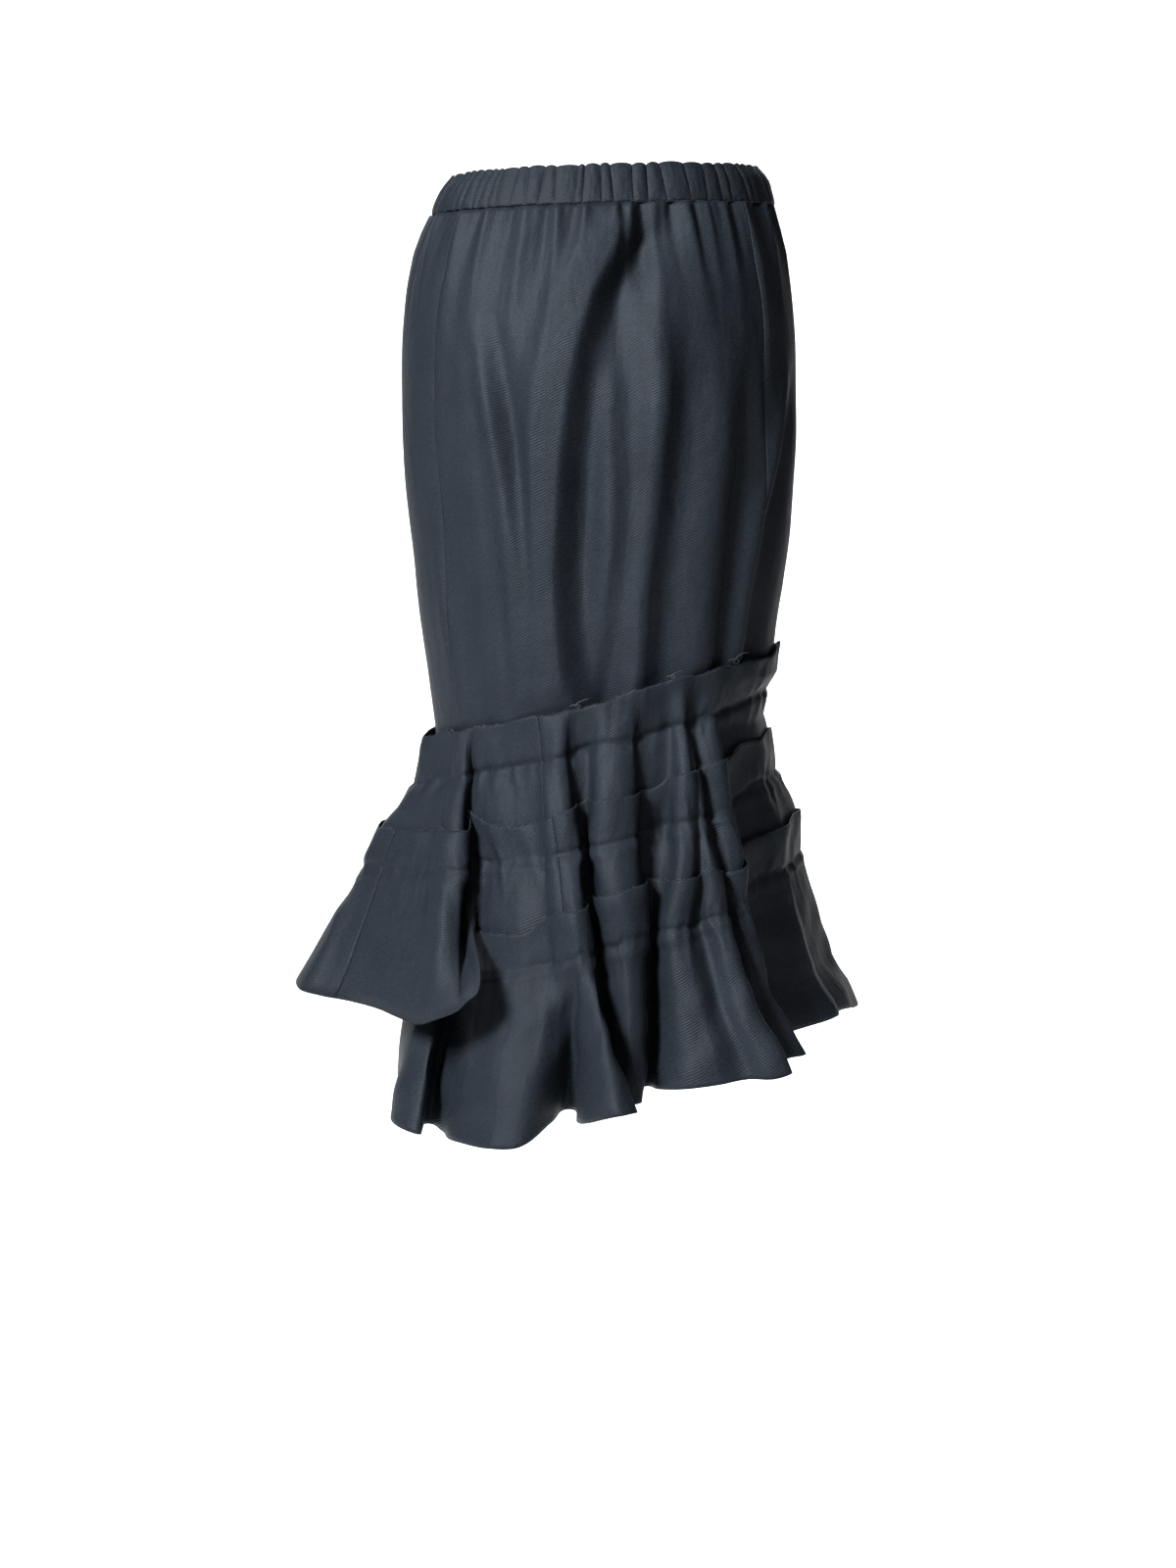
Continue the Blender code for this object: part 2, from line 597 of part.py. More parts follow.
def tiers(material):
    """The three tiers, each laid over the one above it."""
    ring = ring_rows()
    where = np.arange(len(ring) * SPLITS_PER_FOLD) / SPLITS_PER_FOLD
    first, _ = tier_grid(ring, first_point, UPPER_ROW_SHARES, where)
    tier_pieces("flounce_1", ring, first, FIRST_CUTS, material)
    second, stations = tier_grid(ring, second_point, UPPER_ROW_SHARES, where)
    second = lay_over(second, stations, first, "b")
    tier_pieces("flounce_2", ring, second, SECOND_CUTS, material)
    low = low_rows()
    where = np.arange(len(low) * SPLITS_PER_FOLD) / SPLITS_PER_FOLD
    third, stations = tier_grid(low, third_point, LOWEST_ROW_SHARES, where)
    alone = list(swell(third, -LAYER_STEP)[:len(UNDER_FOLDS) * SPLITS_PER_FOLD - 1])
    covered = list(second[len(SIDE_FOLDS) * SPLITS_PER_FOLD - 1:])
    third = lay_over(third, stations, alone + covered, "c")
    tier_pieces("flounce_3", low, third, THIRD_CUTS, material)


def body_point(turn, share):
    """Point of the plain body, share 0 at the band seam and 1 at the lower edge."""
    top = -BAND_HEIGHT - SEAM_GAP
    guess = body_reach(turn, -0.44)[0] * math.sin(math.radians(turn))
    low = level_height("a", guess) - TAIL_LENGTH
    start = top + BAND_TILT * body_reach(turn, top)[0] * math.sin(math.radians(turn))
    height = start + (low - start) * share
    reach = body_reach(turn, height)[0]
    depth = start - height
    ripple = 1.1 * MM * math.exp(-depth / 0.055) * math.cos(math.radians(turn) * GATHERS)
    flat = spot(turn, reach - PANEL_INSET + ripple)
    return (flat[0], flat[1], height)


BODY_ROW_SHARES = (0.0, 0.06, 0.16, 0.30, 0.46, 0.64, 0.82, 1.0)


def body_panels(material):
    step = 180.0 / GATHERS
    spans = (("back_panel", -PANEL_SEAM_TURN, PANEL_SEAM_TURN),
             ("front_panel", PANEL_SEAM_TURN, 360.0 - PANEL_SEAM_TURN))
    for name, start, end in spans:
        turns = np.arange(start, end + step / 2, step)
        grid = np.array([[body_point(turn, share) for share in BODY_ROW_SHARES] for turn in turns])
        grid = trim_ends(grid, SEAM_GAP)
        mesh_object(name, grid, WALL, material)


# The casing's section: share of the thickness outward, share of the height down.
BAND_SECTION = (
    (-0.5, 0.08), (-0.15, 0.0), (0.25, 0.02), (0.5, 0.16),
    (0.5, 0.62), (0.34, 0.98), (-0.3, 1.0), (-0.5, 0.6),
)


def waistband(material):
    """Gathered casing: a closed ring whose section rises and falls with every gather."""
    columns = GATHERS * 3
    points = []
    for column in range(columns):
        turn = 360.0 * column / columns
        wave = math.cos(math.radians(turn) * GATHERS)
        uneven = 0.6 + 0.4 * math.sin(math.radians(turn) * 11 + 1.0)
        lift = (0.9 + 0.9 * wave) * uneven * MM
        across = math.sin(math.radians(turn))
        for out, down in BAND_SECTION:
            height = -BAND_HEIGHT * down
            reach = body_reach(turn, height)[0] + BAND_THICK * out
            reach += 0.9 * MM * wave * uneven * (out + 0.5) * math.sin(math.pi * min(down + 0.2, 1))
            flat = spot(turn, reach)
            rise = lift * (1 - down) - 1.8 * MM * (1 - down)
            points.append((flat[0], flat[1], height + rise + BAND_TILT * reach * across))
    size = len(BAND_SECTION)
    faces = []
    for column in range(columns):
        following = (column + 1) % columns
        for corner in range(size):
            after = (corner + 1) % size
            faces.append((column * size + corner, column * size + after,
                          following * size + after, following * size + corner))
    mesh = bpy.data.meshes.new("waistband")
    mesh.from_pydata(points, [], faces)
    mesh.update()
    item = bpy.data.objects.new("waistband", mesh)
    finish_object(item, material)
    return item


# Sewn lengths of each tier: name, and the fold lines its ends come after.
CUT_COLUMNS = ("name", "from", "to")
FIRST_CUTS = (
    ("left", "front_3_ridge_a", "p1_c"),
    ("right", "p1_c", "front_3_ridge_a"),
)
SECOND_CUTS = (
    ("side", "front_3_valley_a", "side_f"),
    ("left", "side_f", "r2_l"),
    ("right", "r2_l", "front_3_valley_a"),
)
THIRD_CUTS = (
    ("front", "front_0_ridge_a", "low_c"),
    ("back", "low_c", "front_0_ridge_a"),
)


def build():
    clear_scene()
    group = bpy.data.collections.new(COLLECTION)
    bpy.context.scene.collection.children.link(group)
    materials = make_materials()
    waistband(materials["band_cloth"])
    body_panels(materials["skirt_cloth"])
    cloth = materials["skirt_cloth"]
    tiers(cloth)


build()
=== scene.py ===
"""Looks of the ruffled skirt: fine surfaces for its gathered band, panels and pleated tiers.

The origin is the middle of the waist opening at the top edge of the waistband. +Z is up, -Y is the
wearer's back and +X is the wearer's right. Lengths in tables are millimetres, other lengths are
metres. Turns are degrees from the middle of the back, positive toward +X.
"""
import math
from collections import namedtuple

import bpy
import numpy as np
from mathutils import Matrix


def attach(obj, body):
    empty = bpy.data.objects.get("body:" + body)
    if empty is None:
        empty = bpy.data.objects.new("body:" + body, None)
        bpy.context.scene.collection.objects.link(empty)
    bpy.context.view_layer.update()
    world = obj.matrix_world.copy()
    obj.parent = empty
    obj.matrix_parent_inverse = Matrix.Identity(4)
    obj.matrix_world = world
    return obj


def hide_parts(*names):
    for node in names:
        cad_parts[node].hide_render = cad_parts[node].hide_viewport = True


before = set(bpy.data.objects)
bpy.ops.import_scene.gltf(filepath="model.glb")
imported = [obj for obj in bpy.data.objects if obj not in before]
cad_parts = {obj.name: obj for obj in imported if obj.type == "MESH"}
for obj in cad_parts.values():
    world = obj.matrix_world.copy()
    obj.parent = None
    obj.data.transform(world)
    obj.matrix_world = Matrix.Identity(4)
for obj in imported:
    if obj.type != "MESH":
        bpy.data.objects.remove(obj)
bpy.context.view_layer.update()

MM = 0.001
SEAM_GAP = 0.6 * MM
TRIM = 0.1 * SEAM_GAP
LAYER_STEP = 2.1 * MM
HEADER_LIFT = 1.0 * MM
HEADER_TALL = 36.0 * MM
HEADER_SHRINK = 0.9
TAIL_LENGTH = 8.0 * MM
TAIL = 2.0
FOLD_ROUNDNESS = 0.95
TOP_EVENING = 4
PINCH_DEPTH = 1.4 * MM
PINCH_REACH = 5.0 * MM
PINCH_SPAN = 70
PUFF_LEAST = 2.4 * MM
PUFF_SLOPE = 0.08
PUFF_FROM = 0.125
BODY_CLEAR = 2.3 * MM

BAND_HEIGHT = 30.0 * MM
BAND_THICK = 3.0 * MM
BAND_TILT = 0.03
PANEL_SEAM_TURN = 60.0

Sheet = namedtuple("Sheet", "piece grid run drop")

# The body's sections: height, reach to the wearer's left, to the right, to the back, to the front.
BODY_SECTIONS = (
    (0, 117, 123, 90, 86),
    (-10, 124, 130, 93, 88),
    (-22, 130, 134, 97, 91),
    (-34, 134, 138, 101, 94),
    (-46, 140, 142, 105, 97),
    (-64, 147, 147, 110, 100),
    (-95, 154, 151, 119, 103),
    (-130, 158, 154, 126, 105),
    (-172, 158, 155, 129, 106),
    (-218, 157, 156, 127, 107),
    (-281, 152, 152, 122, 107),
    (-328, 148, 146, 119, 107),
    (-360, 144, 141, 117, 107),
    (-408, 138, 137, 114, 107),
    (-440, 134, 134, 111, 106),
    (-520, 132, 132, 108, 105),
)

# The three stitch lines tilt up toward the wearer's right: height in the middle, rise per length.
LEVELS = {
    "a": (-444, 0.26),
    "b": (-514, 0.22),
    "c": (-592, 0.25),
}

# Fold lines of the back, left to right: name, how far the top header stands open (share of the
# fold's height), turn and reach at each of the three stitch lines and at the hem, the hem's height.
BACK_FOLDS = (
    ("p1_0", 0.2, -44.2, 123.5, -38.4, 139.2, -37.6, 153.4, -37.6, 193, -742),
    ("p1_a", 0.2, -40.6, 122.6, -33, 140, -33.2, 160, -31.8, 207, -739),
    ("p1_b", 0.2, -33, 120.5, -26, 140, -21.8, 168, -21.8, 225, -735),
    ("p1_c", 0.2, -23.5, 121.5, -18.5, 142, -13, 165, -15.6, 221, -732),
    ("r2_l", 0.3, -19.2, 129, -14, 150, -10, 172, -11.2, 188, -721),
    ("r2_m", 0.3, -15.8, 130, -10.6, 151, -5.6, 179, -8.8, 160, -718),
    ("r2_n", 0.3, -13.6, 129.5, -8.6, 150, -4.6, 180, -5, 200, -717),
    ("r2_r", 0.3, -12, 126.5, -7.3, 146.5, -2.8, 177, -1.9, 235, -708),
    ("r2_o", 0.3, -11.6, 121.5, -7.6, 138.5, -2.6, 168, 2.6, 260, -696),
    ("r2_p", 0.3, -11.2, 117.5, -9.2, 131.5, -6.8, 156, 6, 248, -697),
    ("v2_a", 0.3, -8.6, 115, -8.8, 126, -7.8, 149, 2.4, 212, -709),
    ("v2_b", 0.3, -4.2, 115, -4, 124.5, -1, 147, 0, 178, -711),
    ("r3_l", 0.4, -1.1, 125, -1.4, 146, 2.4, 163, 4.4, 186, -707),
    ("r3_m", 0.4, 5.4, 127.5, 3.6, 150, 6.2, 170, 7.2, 195, -705),
    ("r3_r", 0.4, 11.2, 124.5, 9.4, 145, 11.4, 163, 9.5, 190, -704),
    ("v3_a", 0.4, 14, 117.5, 12.6, 127, 14.6, 140, 12.4, 152, -703),
    ("v3_b", 0.4, 21, 117, 18.5, 126, 16.6, 141, 13.9, 154, -702),
    ("v3_c", 0.5, 26, 118.5, 23.4, 130, 17.2, 154, 14.8, 176, -699),
    ("r4_l", 0.5, 28.4, 125, 24.6, 146, 18.4, 163, 18.7, 200, -694),
    ("r4_m", 0.5, 30.2, 128, 28, 149.5, 22.6, 166, 25, 212, -690),
    ("r4_s", 0.5, 32, 126, 31, 147, 28.2, 159, 31, 217, -687),
    ("r4_t", 0.5, 33, 123, 33, 148, 31.4, 172, 34.6, 234, -684),
    ("r4_r", 0.5, 34.4, 120, 34, 141.5, 35.6, 176, 38.8, 238, -679),
    ("v4", 0.6, 36.4, 119.5, 36.6, 136, 39.2, 159, 41.5, 206, -684),
    ("r5_l", 0.8, 39.2, 127, 40, 147.5, 42.4, 168, 45.5, 206, -679),
    ("r5_r", 0.8, 44.4, 132, 45, 152.5, 46, 171, 49.5, 212, -676),
    ("v5_a", 0.8, 48.6, 127, 50, 140, 52, 150, 55, 174, -680),
    ("v5_b", 0.7, 56, 125, 58, 135, 60, 146, 62, 160, -680),
    ("v5_c", 0.6, 64, 129, 67, 142, 69, 153, 68.5, 178, -672),
    ("r6_l", 0.5, 72, 135, 73.5, 149, 74, 166, 75.6, 202, -665),
    ("r6_r", 0.4, 84, 139, 82, 151, 82, 167, 82, 203, -665),
)

# Pleats of the front, right to left: middle turn, half width in turn, and the height of the pleat
# above the valley beside it at each stitch line and at the hem.
FRONT_PLEATS = (
    (104, 4.6, 7, 15, 22, 44),
    (128, 5.2, 9, 18, 25, 54),
    (151, 4.4, 8, 16, 21, 46),
    (175, 5.6, 10, 19, 27, 60),
    (199, 4.8, 8, 15, 22, 48),
)
FRONT_END = 220.0
FRONT_LEAN = 1.2
FRONT_OPEN = 0.4
# Valleys of the front at the stitch lines and the hem: how far they stand off the body's form at
# the first stitch line, and how far the pleats beside them lean, in shares of the lean.
FRONT_LEVELS = ((3, 0), (14, 1), (28, 1.5), (50, 2))
# The front's hem: height in the middle, reach and slope of its tilt, and its unrest.
FRONT_HEM = -707
FRONT_HEM_REACH = 210
FRONT_HEM_SLOPE = 0.17
FRONT_HEM_UNREST = 3

# Fold lines of the left side, front to back: name and opening, turn and reach at the two upper
# stitch lines, at the free flounce's half-way point and at its hem, the hem's height.
SIDE_FOLDS = (
    ("slit_f", 0.2, -138, 124, -141, 136, -142, 139, -142.5, 141, -577),
    ("lip_fa", 0.2, -134, 128, -137, 142, -138.5, 158, -142, 174, -586),
    ("lip_fb", 0.2, -130, 131, -133, 147, -135, 174, -141, 208, -610),
    ("lip_fc", 0.2, -126, 134, -129, 153, -131, 184, -135, 224, -632),
    ("side_a", 0.1, -120, 137, -122, 159, -123, 192, -125, 226, -642),
    ("side_b", 0.1, -113, 138, -114, 160, -114, 188, -114, 215, -645),
    ("side_c", 0.1, -104, 146, -105, 174, -103, 204, -99, 230, -642),
    ("side_d", 0.1, -94, 153, -95, 187, -89, 217, -84, 246, -641),
    ("side_e", 0.1, -83, 156, -85, 192, -76, 222, -73.3, 250, -643),
    ("side_f", 0.1, -77, 150, -79, 184, -71, 212, -69.2, 235, -646),
    ("piece", 0.1, -71, 142, -72.2, 177, -63.5, 203, -65.4, 222, -647),
    ("side_g", 0.1, -66, 134, -62, 166, -53, 196, -53.9, 215, -646),
    ("under", 0.1, -61.4, 131, -54, 163, -46.5, 196, -46, 216, -648),
    ("r1_l", 0.1, -59.4, 137.5, -50.5, 169, -42, 199, -40, 218, -649),
    ("r1_m", 0.2, -55, 141, -43.5, 173, -37.6, 198, -34, 222, -641),
    ("r1_r", 0.2, -51.4, 137, -39.8, 164, -36, 183, -29, 224, -632),
    ("v1_a", 0.2, -51.6, 131, -44.6, 152, -43.6, 165, -26.8, 224, -624),
    ("v1_b", 0.2, -52.6, 126.5, -50, 144.5, -47.6, 154, -24.9, 219, -616),
    ("lip_a", 0.2, -50.6, 125.5, -48, 140.4, -46, 151.5, -27.6, 198.6, -600),
    ("lip_b", 0.2, -48.6, 125, -45.4, 139.2, -43.8, 150, -35, 168.4, -585),
    ("slit_b", 0.2, -46.4, 124, -42, 138.8, -40.4, 147.2, -39.8, 153.3, -577),
)

# The lowest tier where the free flounce hides it, front to back: name, turn and reach at its stitch
# line and at its hem, the hem's height.
UNDER_FOLDS = (
    ("low_a", -134, 150, -136, 166, -735),
    ("low_b", -120, 153, -120, 182, -738),
    ("low_c", -104, 154, -104, 166, -741),
    ("low_d", -88, 158, -88, 162, -742),
    ("low_e", -72, 158, -68, 178, -740),
    ("k_l", -60, 157, -53.6, 204, -737),
    ("k_r", -53.6, 154, -44, 207, -740),
    ("k_u", -51.6, 149, -47.6, 191, -742),
    ("v0_a", -50.4, 146, -53, 171, -744),
    ("v0_b", -45.6, 147, -45, 176, -744),
)

# Rows of each tier: length above (+) or below (-) its stitch line, then shares of the way down to
# the next stitch line or to the hem. Tiers that end under the next one get a tail row as well.
TIER_ROW_LENGTHS = (48, 9, 0, -8)
UPPER_ROW_SHARES = (0.5, 1, TAIL)
LOWEST_ROW_SHARES = (0.36, 0.7, 1)
# Shares of the way down to the hem where the second tier hangs free, in place of those above.
FREE_HEM_SHARES = {0.5: 0.5, 1.0: 0.8, TAIL: 1.0}

# Sewn lengths of each tier: name, and the fold lines its ends come after.
CUTS = {
    "flounce_1": (
        ("left", "front_3_ridge_a", "p1_c"),
        ("right", "p1_c", "front_3_ridge_a"),
    ),
    "flounce_2": (
        ("side", "front_3_valley_a", "side_f"),
        ("left", "side_f", "r2_l"),
        ("right", "r2_l", "front_3_valley_a"),
    ),
    "flounce_3": (
        ("front", "front_0_ridge_a", "low_c"),
        ("back", "low_c", "front_0_ridge_a"),
    ),
}

# Fine columns for each fold line, and fine rows for each row of a tier.
FINE = 12
TIER_STEPS = {
    "flounce_1": (12, 6, 5, 9, 8, 2),
    "flounce_2": (12, 6, 5, 10, 9, 2),
    "flounce_3": (12, 6, 5, 11, 10, 10),
}
NEXT_LEVEL = {"flounce_1": "b", "flounce_2": "c"}

CLOTH = 0.7 * MM
CLOTH_STEP = 1.5 * MM
CLOSE_PINCH = 0.7
CLOSE_ROUNDS = 3
CLOSE_EVENING = 2

# How far the raw upper edge and the stitch line of each tier lie above (+) or below (-) their plain
# heights, round the back and the left side: turn and rise.
EDGE_RISE = {
    "flounce_1": ((-65, 2.1), (-35, 2.2), (-18, 1.5), (-8, 0.5), (3, 1), (16, 4.2), (27, 2.4),
                  (45, 1.2), (54, -0.3), (72, -5)),
    "flounce_2": ((-70, -1.9), (-54, -4.1), (-51, 3), (-48, 6.5), (-44, 1.5), (-38, -4.7),
                  (-27, -11.5), (-21, -10.5), (-10, -5.9), (-6, -1.3), (3, -0.5), (11, -3),
                  (17, -4.2), (23, 2), (25, 3.7), (31, 1.5), (41, 1.7), (53, -0.4), (62, 5)),
    "flounce_3": ((-42, -2.7), (-32, -6.8), (-19, -11), (-13, -2.1), (-9, 1.3), (-4, 1),
                  (0, 3.1), (5, 5.6), (10, 6.5), (18, 3.7), (23, 1.9), (26, 1.1), (32, 2.7),
                  (35, -4.7), (43, -10.5)),
}
STITCH_RISE = {
    "flounce_1": ((-65, 3.3), (-35, 1.4), (-14, 2), (-4, 5.5), (0, 6), (6, 3), (12, 0.8),
                  (28, 2.2), (41, 0.4), (63, -0.2)),
    "flounce_2": ((-82, 6.5), (-70, 4.1), (-54, -2.6), (-46, 6.5), (-40, 1.5), (-30, -4.5),
                  (-19, -9), (-14, 0.1), (-8, 0.8), (0, 0.3), (8, 1), (26, 2.5), (32, 2.7),
                  (38, -3), (44, -8.5), (52, -2), (70, 5.5)),
    "flounce_3": ((-38, -7.9), (-25, -6.3), (-13, -2.4), (-6, 3), (-4, 5), (-2, 1.5), (1, 2.7),
                  (4, 0.5), (6, 6), (9, 3.9), (18, 2.2), (27, -1.3), (31, -0.6), (35, -2.4),
                  (42, -9.5)),
}
EDGE_EVENING = 3
# Elsewhere the edges have an even unrest: its height, its length and its blend, both in turn.
UNREST_TALL = 3.2
UNREST_WAVE = 34.0
RISE_BLEND = 14
SEAM_RISE_REACH = 0.05

# Relief of the tiers: soft waves above and below the stitch line, fine waves beside it, creases
# across it, a flutter of the raw edge, and the groove of the stitches.
RELIEF_SEEDS = {"flounce_1": 3, "flounce_2": 11, "flounce_3": 23}
RELIEF_FLOOR = -1.2 * MM
SOFT_WAVE = 0.046
SOFT_ABOVE = 1.3 * MM
SOFT_BELOW = 2.0 * MM
FINE_WAVE = 0.021
FINE_TALL = 0.55 * MM
FINE_REACH = 0.03
CREASE_SPACING = 0.012
CREASE_TALL = 1.6 * MM
CREASE_WIDE = 0.0035
CREASE_UP = 0.016
CREASE_LOW = 0.028
FLUTTER_WAVE = 0.034
FLUTTER_TALL = 1.3 * MM
STITCH_SUNK = 1.0 * MM
STITCH_WIDE = 0.0028
UNDER_FADE = 0.03
SEAM_SUNK = 0.9 * MM
SEAM_WIDE = 2.2 * MM

# How far the sides hang closer to the middle than the solids' tiers: where the pull starts and is
# full, sideways in metres, then height and distance.
PULL_RIGHT = (0.05, 0.16, ((-395, 0), (-432, 19), (-450, 19), (-500, 15), (-600, 16), (-632, 17),
                           (-655, 8), (-700, 0)))
PULL_LEFT = (0.08, 0.17, ((-455, 0), (-480, 5), (-505, 8), (-520, 4), (-545, 0)))
# The right hem hangs lower too: how far, and where that starts and is full, to the side and down.
DROP_RIGHT = 5.0
DROP_SIDE = (0.10, 0.19)
DROP_BELOW = (0.56, 0.63)

# Soft folds of the panels. Each is a bank that faces the wearer's right, with a ridge to its left
# and a hollow to its right: fall of the bank, reach of the ridge, reach of the hollow, then points
# of turn and height down its middle.
BODY_FOLDS = (
    (13, 17, 17, ((13, -40), (10, -56), (5, -76), (-1, -99), (-5, -132), (-8, -165),
                  (-10, -205), (-12, -250), (-14, -305), (-13, -355), (-10, -425))),
    (5, 12, 13, ((5, -100), (6, -121), (6, -194), (7, -280), (3, -350), (0, -420))),
    (6.2, 12, 15, ((24, -110), (25, -157), (23, -209), (22, -260), (19, -330), (17, -420))),
    (4.6, 13, 10, ((50, -140), (47, -194), (46, -246), (45, -299), (43, -420))),
    (5.6, 9, 12, ((77, -150), (68, -210), (62, -270), (59, -323), (57, -400))),
    (5.4, 8, 9, ((-42, -110), (-38, -143), (-34, -194), (-31, -243), (-28, -320), (-25, -425))),
    (2.4, 10, 12, ((-62, -250), (-58, -330), (-54, -425))),
)
# Soft ridges: height, half width, then points of turn and height.
BODY_RIDGES = (
    (2.4, 6, ((-4, -36), (4, -40), (10, -46), (16, -58))),
    (2, 6, ((64, -50), (61, -97), (62, -150))),
    (2, 9, ((-62, -405), (-56, -418), (-50, -430))),
    (1.8, 10, ((-48, -120), (-47, -194), (-46, -269), (-42, -352), (-40, -421))),
)
# Gathers below the band at the back: turn, height off the surface, half width, reach down.
BAND_GATHERS = (
    (-72, 2, 5, 50), (-66, -1.6, 4, 40), (-58, 2.6, 5, 80), (-52, -1.6, 4, 45),
    (-47, 2.4, 4.5, 60), (-39, -2, 6, 60), (-31, 2.6, 5, 85), (-24, -1.8, 4.5, 50),
    (-18, 2.2, 4, 70), (-12, -1.8, 4, 40), (-7, 2.2, 4, 46), (0, -1.6, 4, 36),
    (6, 2.6, 3.6, 34), (12, 2.4, 4, 60), (18, -2, 4.5, 60), (23, 2.6, 4.5, 88),
    (30, -2.2, 4.5, 55), (36, 2.6, 4, 70), (40, -1.8, 3, 40), (44, 2.2, 3.2, 52),
    (51, 2.2, 3.4, 66), (55, -2, 3.2, 50), (61, 2.4, 4, 74), (67, -1.8, 4, 44),
    (73, 2, 4, 50),
)
FRONT_GATHERS = (82.0, 280)
GATHER_TALL = 1.25
GATHER_WIDE = 0.85
GATHER_WIDENS = 40
FINE_GATHERS = 54
FINE_GATHER_TALL = 0.8 * MM
FINE_GATHER_REACH = 0.016
LINE_OVER = 0.02
LINE_ENDS = -0.38

BODY_COLUMNS = 960
BODY_ROW_SHARES = np.concatenate([np.linspace(0, 0.25, 26)[:-1], np.linspace(0.25, 1.0, 47)])
BODY_UNREST = 0.8 * MM
FRONT_LOWER = 0.012
FRONT_SHARE = 0.6
PANEL_SEAM_SUNK = 1.5 * MM
PANEL_SEAM_WIDE = 3.5 * MM
# The panels' folds are held down under the first header, and softly limited above it.
UNDER_HEADER = 1.0 * MM
OVER_HEADER = 6.0 * MM
CEILING_SOFT = 1.5 * MM

BAND_COLUMNS = 1440
BAND_CORNERS = 40
BAND_UNREST = 0.22 * MM
PUFF_TURNS = (3.0, 4.2, 5.2, 6.4, 9.0)
CREASE_STOP = 352
# The casing's section: powers that square off its faces and its rims. Its puffs: how far they stand
# out and their creases sink in, then the fullness at which each rim keeps its height, and its rise.
FACE_POWER = 0.55
RIM_POWER = 0.75
PUFF_OUT = 2.3
PUFF_IN = 1.4
TOP_LEVEL = 0.9
TOP_RISE = 2.8
LOW_LEVEL = 0.6
LOW_RISE = 1.3

CLOTH_COLOUR = (0.0255, 0.0305, 0.0385)
BAND_COLOUR = (0.0235, 0.028, 0.035)
THREAD_COLOUR = (0.016, 0.018, 0.022)
LOOSE_COLOUR = (0.10, 0.105, 0.112)
TWILL_TURN = 62

STITCH_PITCH = 3.0 * MM
STITCH_LENGTH = 2.2 * MM
STITCH_LIFT = 0.40 * MM
STITCH_RADIUS = 0.17 * MM
FRAY_SPACING = 0.0022
FRAY_RADIUS = 0.13 * MM
# Rings of a short thread: share of its length, rise and thickness in shares of its radius.
THREAD_RINGS = ((0.0, -0.6, 0.5), (0.3, 0.5, 1.0), (0.7, 0.5, 1.0), (1.0, -0.6, 0.5))
# Loose curls of thread on the raw upper edge of the first tier: turn and size.
THREAD_CURLS = ((-7, 12), (27.5, 10), (54, 17), (-118, 11), (150, 12))
CURL_STEPS = 40
CURL_RADIUS = 0.28 * MM

# Lamps: name, place, size, power and colour.
LAMPS = (
    ("key", (-1.5, -2.05, 1.0), 0.7, 122.0, (0.91, 0.96, 1.0)),
    ("fill", (2.0, -2.4, 1.0), 1.5, 4.0, (1.0, 0.98, 0.95)),
    ("top", (0.1, -0.9, 2.0), 1.2, 9.0, (1.0, 1.0, 1.0)),
    ("rear", (0.1, 2.3, 1.3), 1.2, 55.0, (1.0, 1.0, 1.0)),
)

# The world's light on the cloth, and its brightness as a backdrop.
WORLD_LIGHT = 0.06
WORLD_SEEN = 0.82

# The floor bends up into the backdrop: height, where the bend starts, its radius, the top, half width.
FLOOR_LOW = -1.05
FLOOR_BACK = 1.6
SWEEP_ROUND = 1.4
SWEEP_TOP = 3.2
SWEEP_SIDE = 1.8
LAMP_TARGET = (0.0, 0.0, -0.4)
EYE = (-0.010, -2.2, -0.172)
EYE_DOWN = 8.17
LENS = 62.66
SENSOR = 36.0


def hermite(start, end, pull_start, pull_end, part):
    square = part * part
    cube = square * part
    out = start * (2 * cube - 3 * square + 1) + pull_start * (cube - 2 * square + part)
    return out + end * (3 * square - 2 * cube) + pull_end * (cube - square)


def unit(ways):
    """Vectors made one long."""
    return ways / np.maximum(np.linalg.norm(ways, axis=-1, keepdims=True), 1e-12)


def soft_curve(before, start, end, after, part, roundness=1.0):
    """Part of the way from start to end, on a curve that bends with the points beyond them."""
    chord = np.linalg.norm(end - start, axis=-1, keepdims=True) * roundness
    return hermite(start, end, unit(end - before) * chord, unit(after - start) * chord, part)


def evened(ring, rounds):
    """Closed ring with each value drawn toward its neighbours, a number of times."""
    for _ in range(rounds):
        ring = (np.roll(ring, 1, axis=0) + 2 * ring + np.roll(ring, -1, axis=0)) / 4
    return ring


def smooth_step(value, low, high):
    share = np.clip((value - low) / (high - low), 0.0, 1.0)
    return share * share * (3 - 2 * share)


def wrapped(turn):
    """Turn between -180 and 180 degrees."""
    return (turn + 180) % 360 - 180


def body_size(height):
    """Left, right, back and front reach of the body at a height, by smooth interpolation."""
    table = np.array(BODY_SECTIONS, dtype=float) * MM
    place = np.interp(-height, -table[:, 0], np.arange(len(table)))
    base = np.clip(np.floor(place).astype(int), 0, len(table) - 2)
    part = (place - base)[:, None]
    sizes = table[:, 1:]
    start = sizes[base]
    end = sizes[base + 1]
    pull_start = (end - sizes[np.maximum(base - 1, 0)]) / 2
    pull_end = (sizes[np.minimum(base + 2, len(table) - 1)] - start) / 2
    return hermite(start, end, pull_start, pull_end, part)


def fold_curve(points, where):
    """Closed smooth curve through a ring of fold lines, read at fractional row numbers."""
    base = np.floor(where).astype(int)
    part = (where - base).reshape(-1, 1, 1)
    near = [points[(base + step) % len(points)] for step in (-1, 0, 1, 2)]
    return soft_curve(*near, part, FOLD_ROUNDNESS)


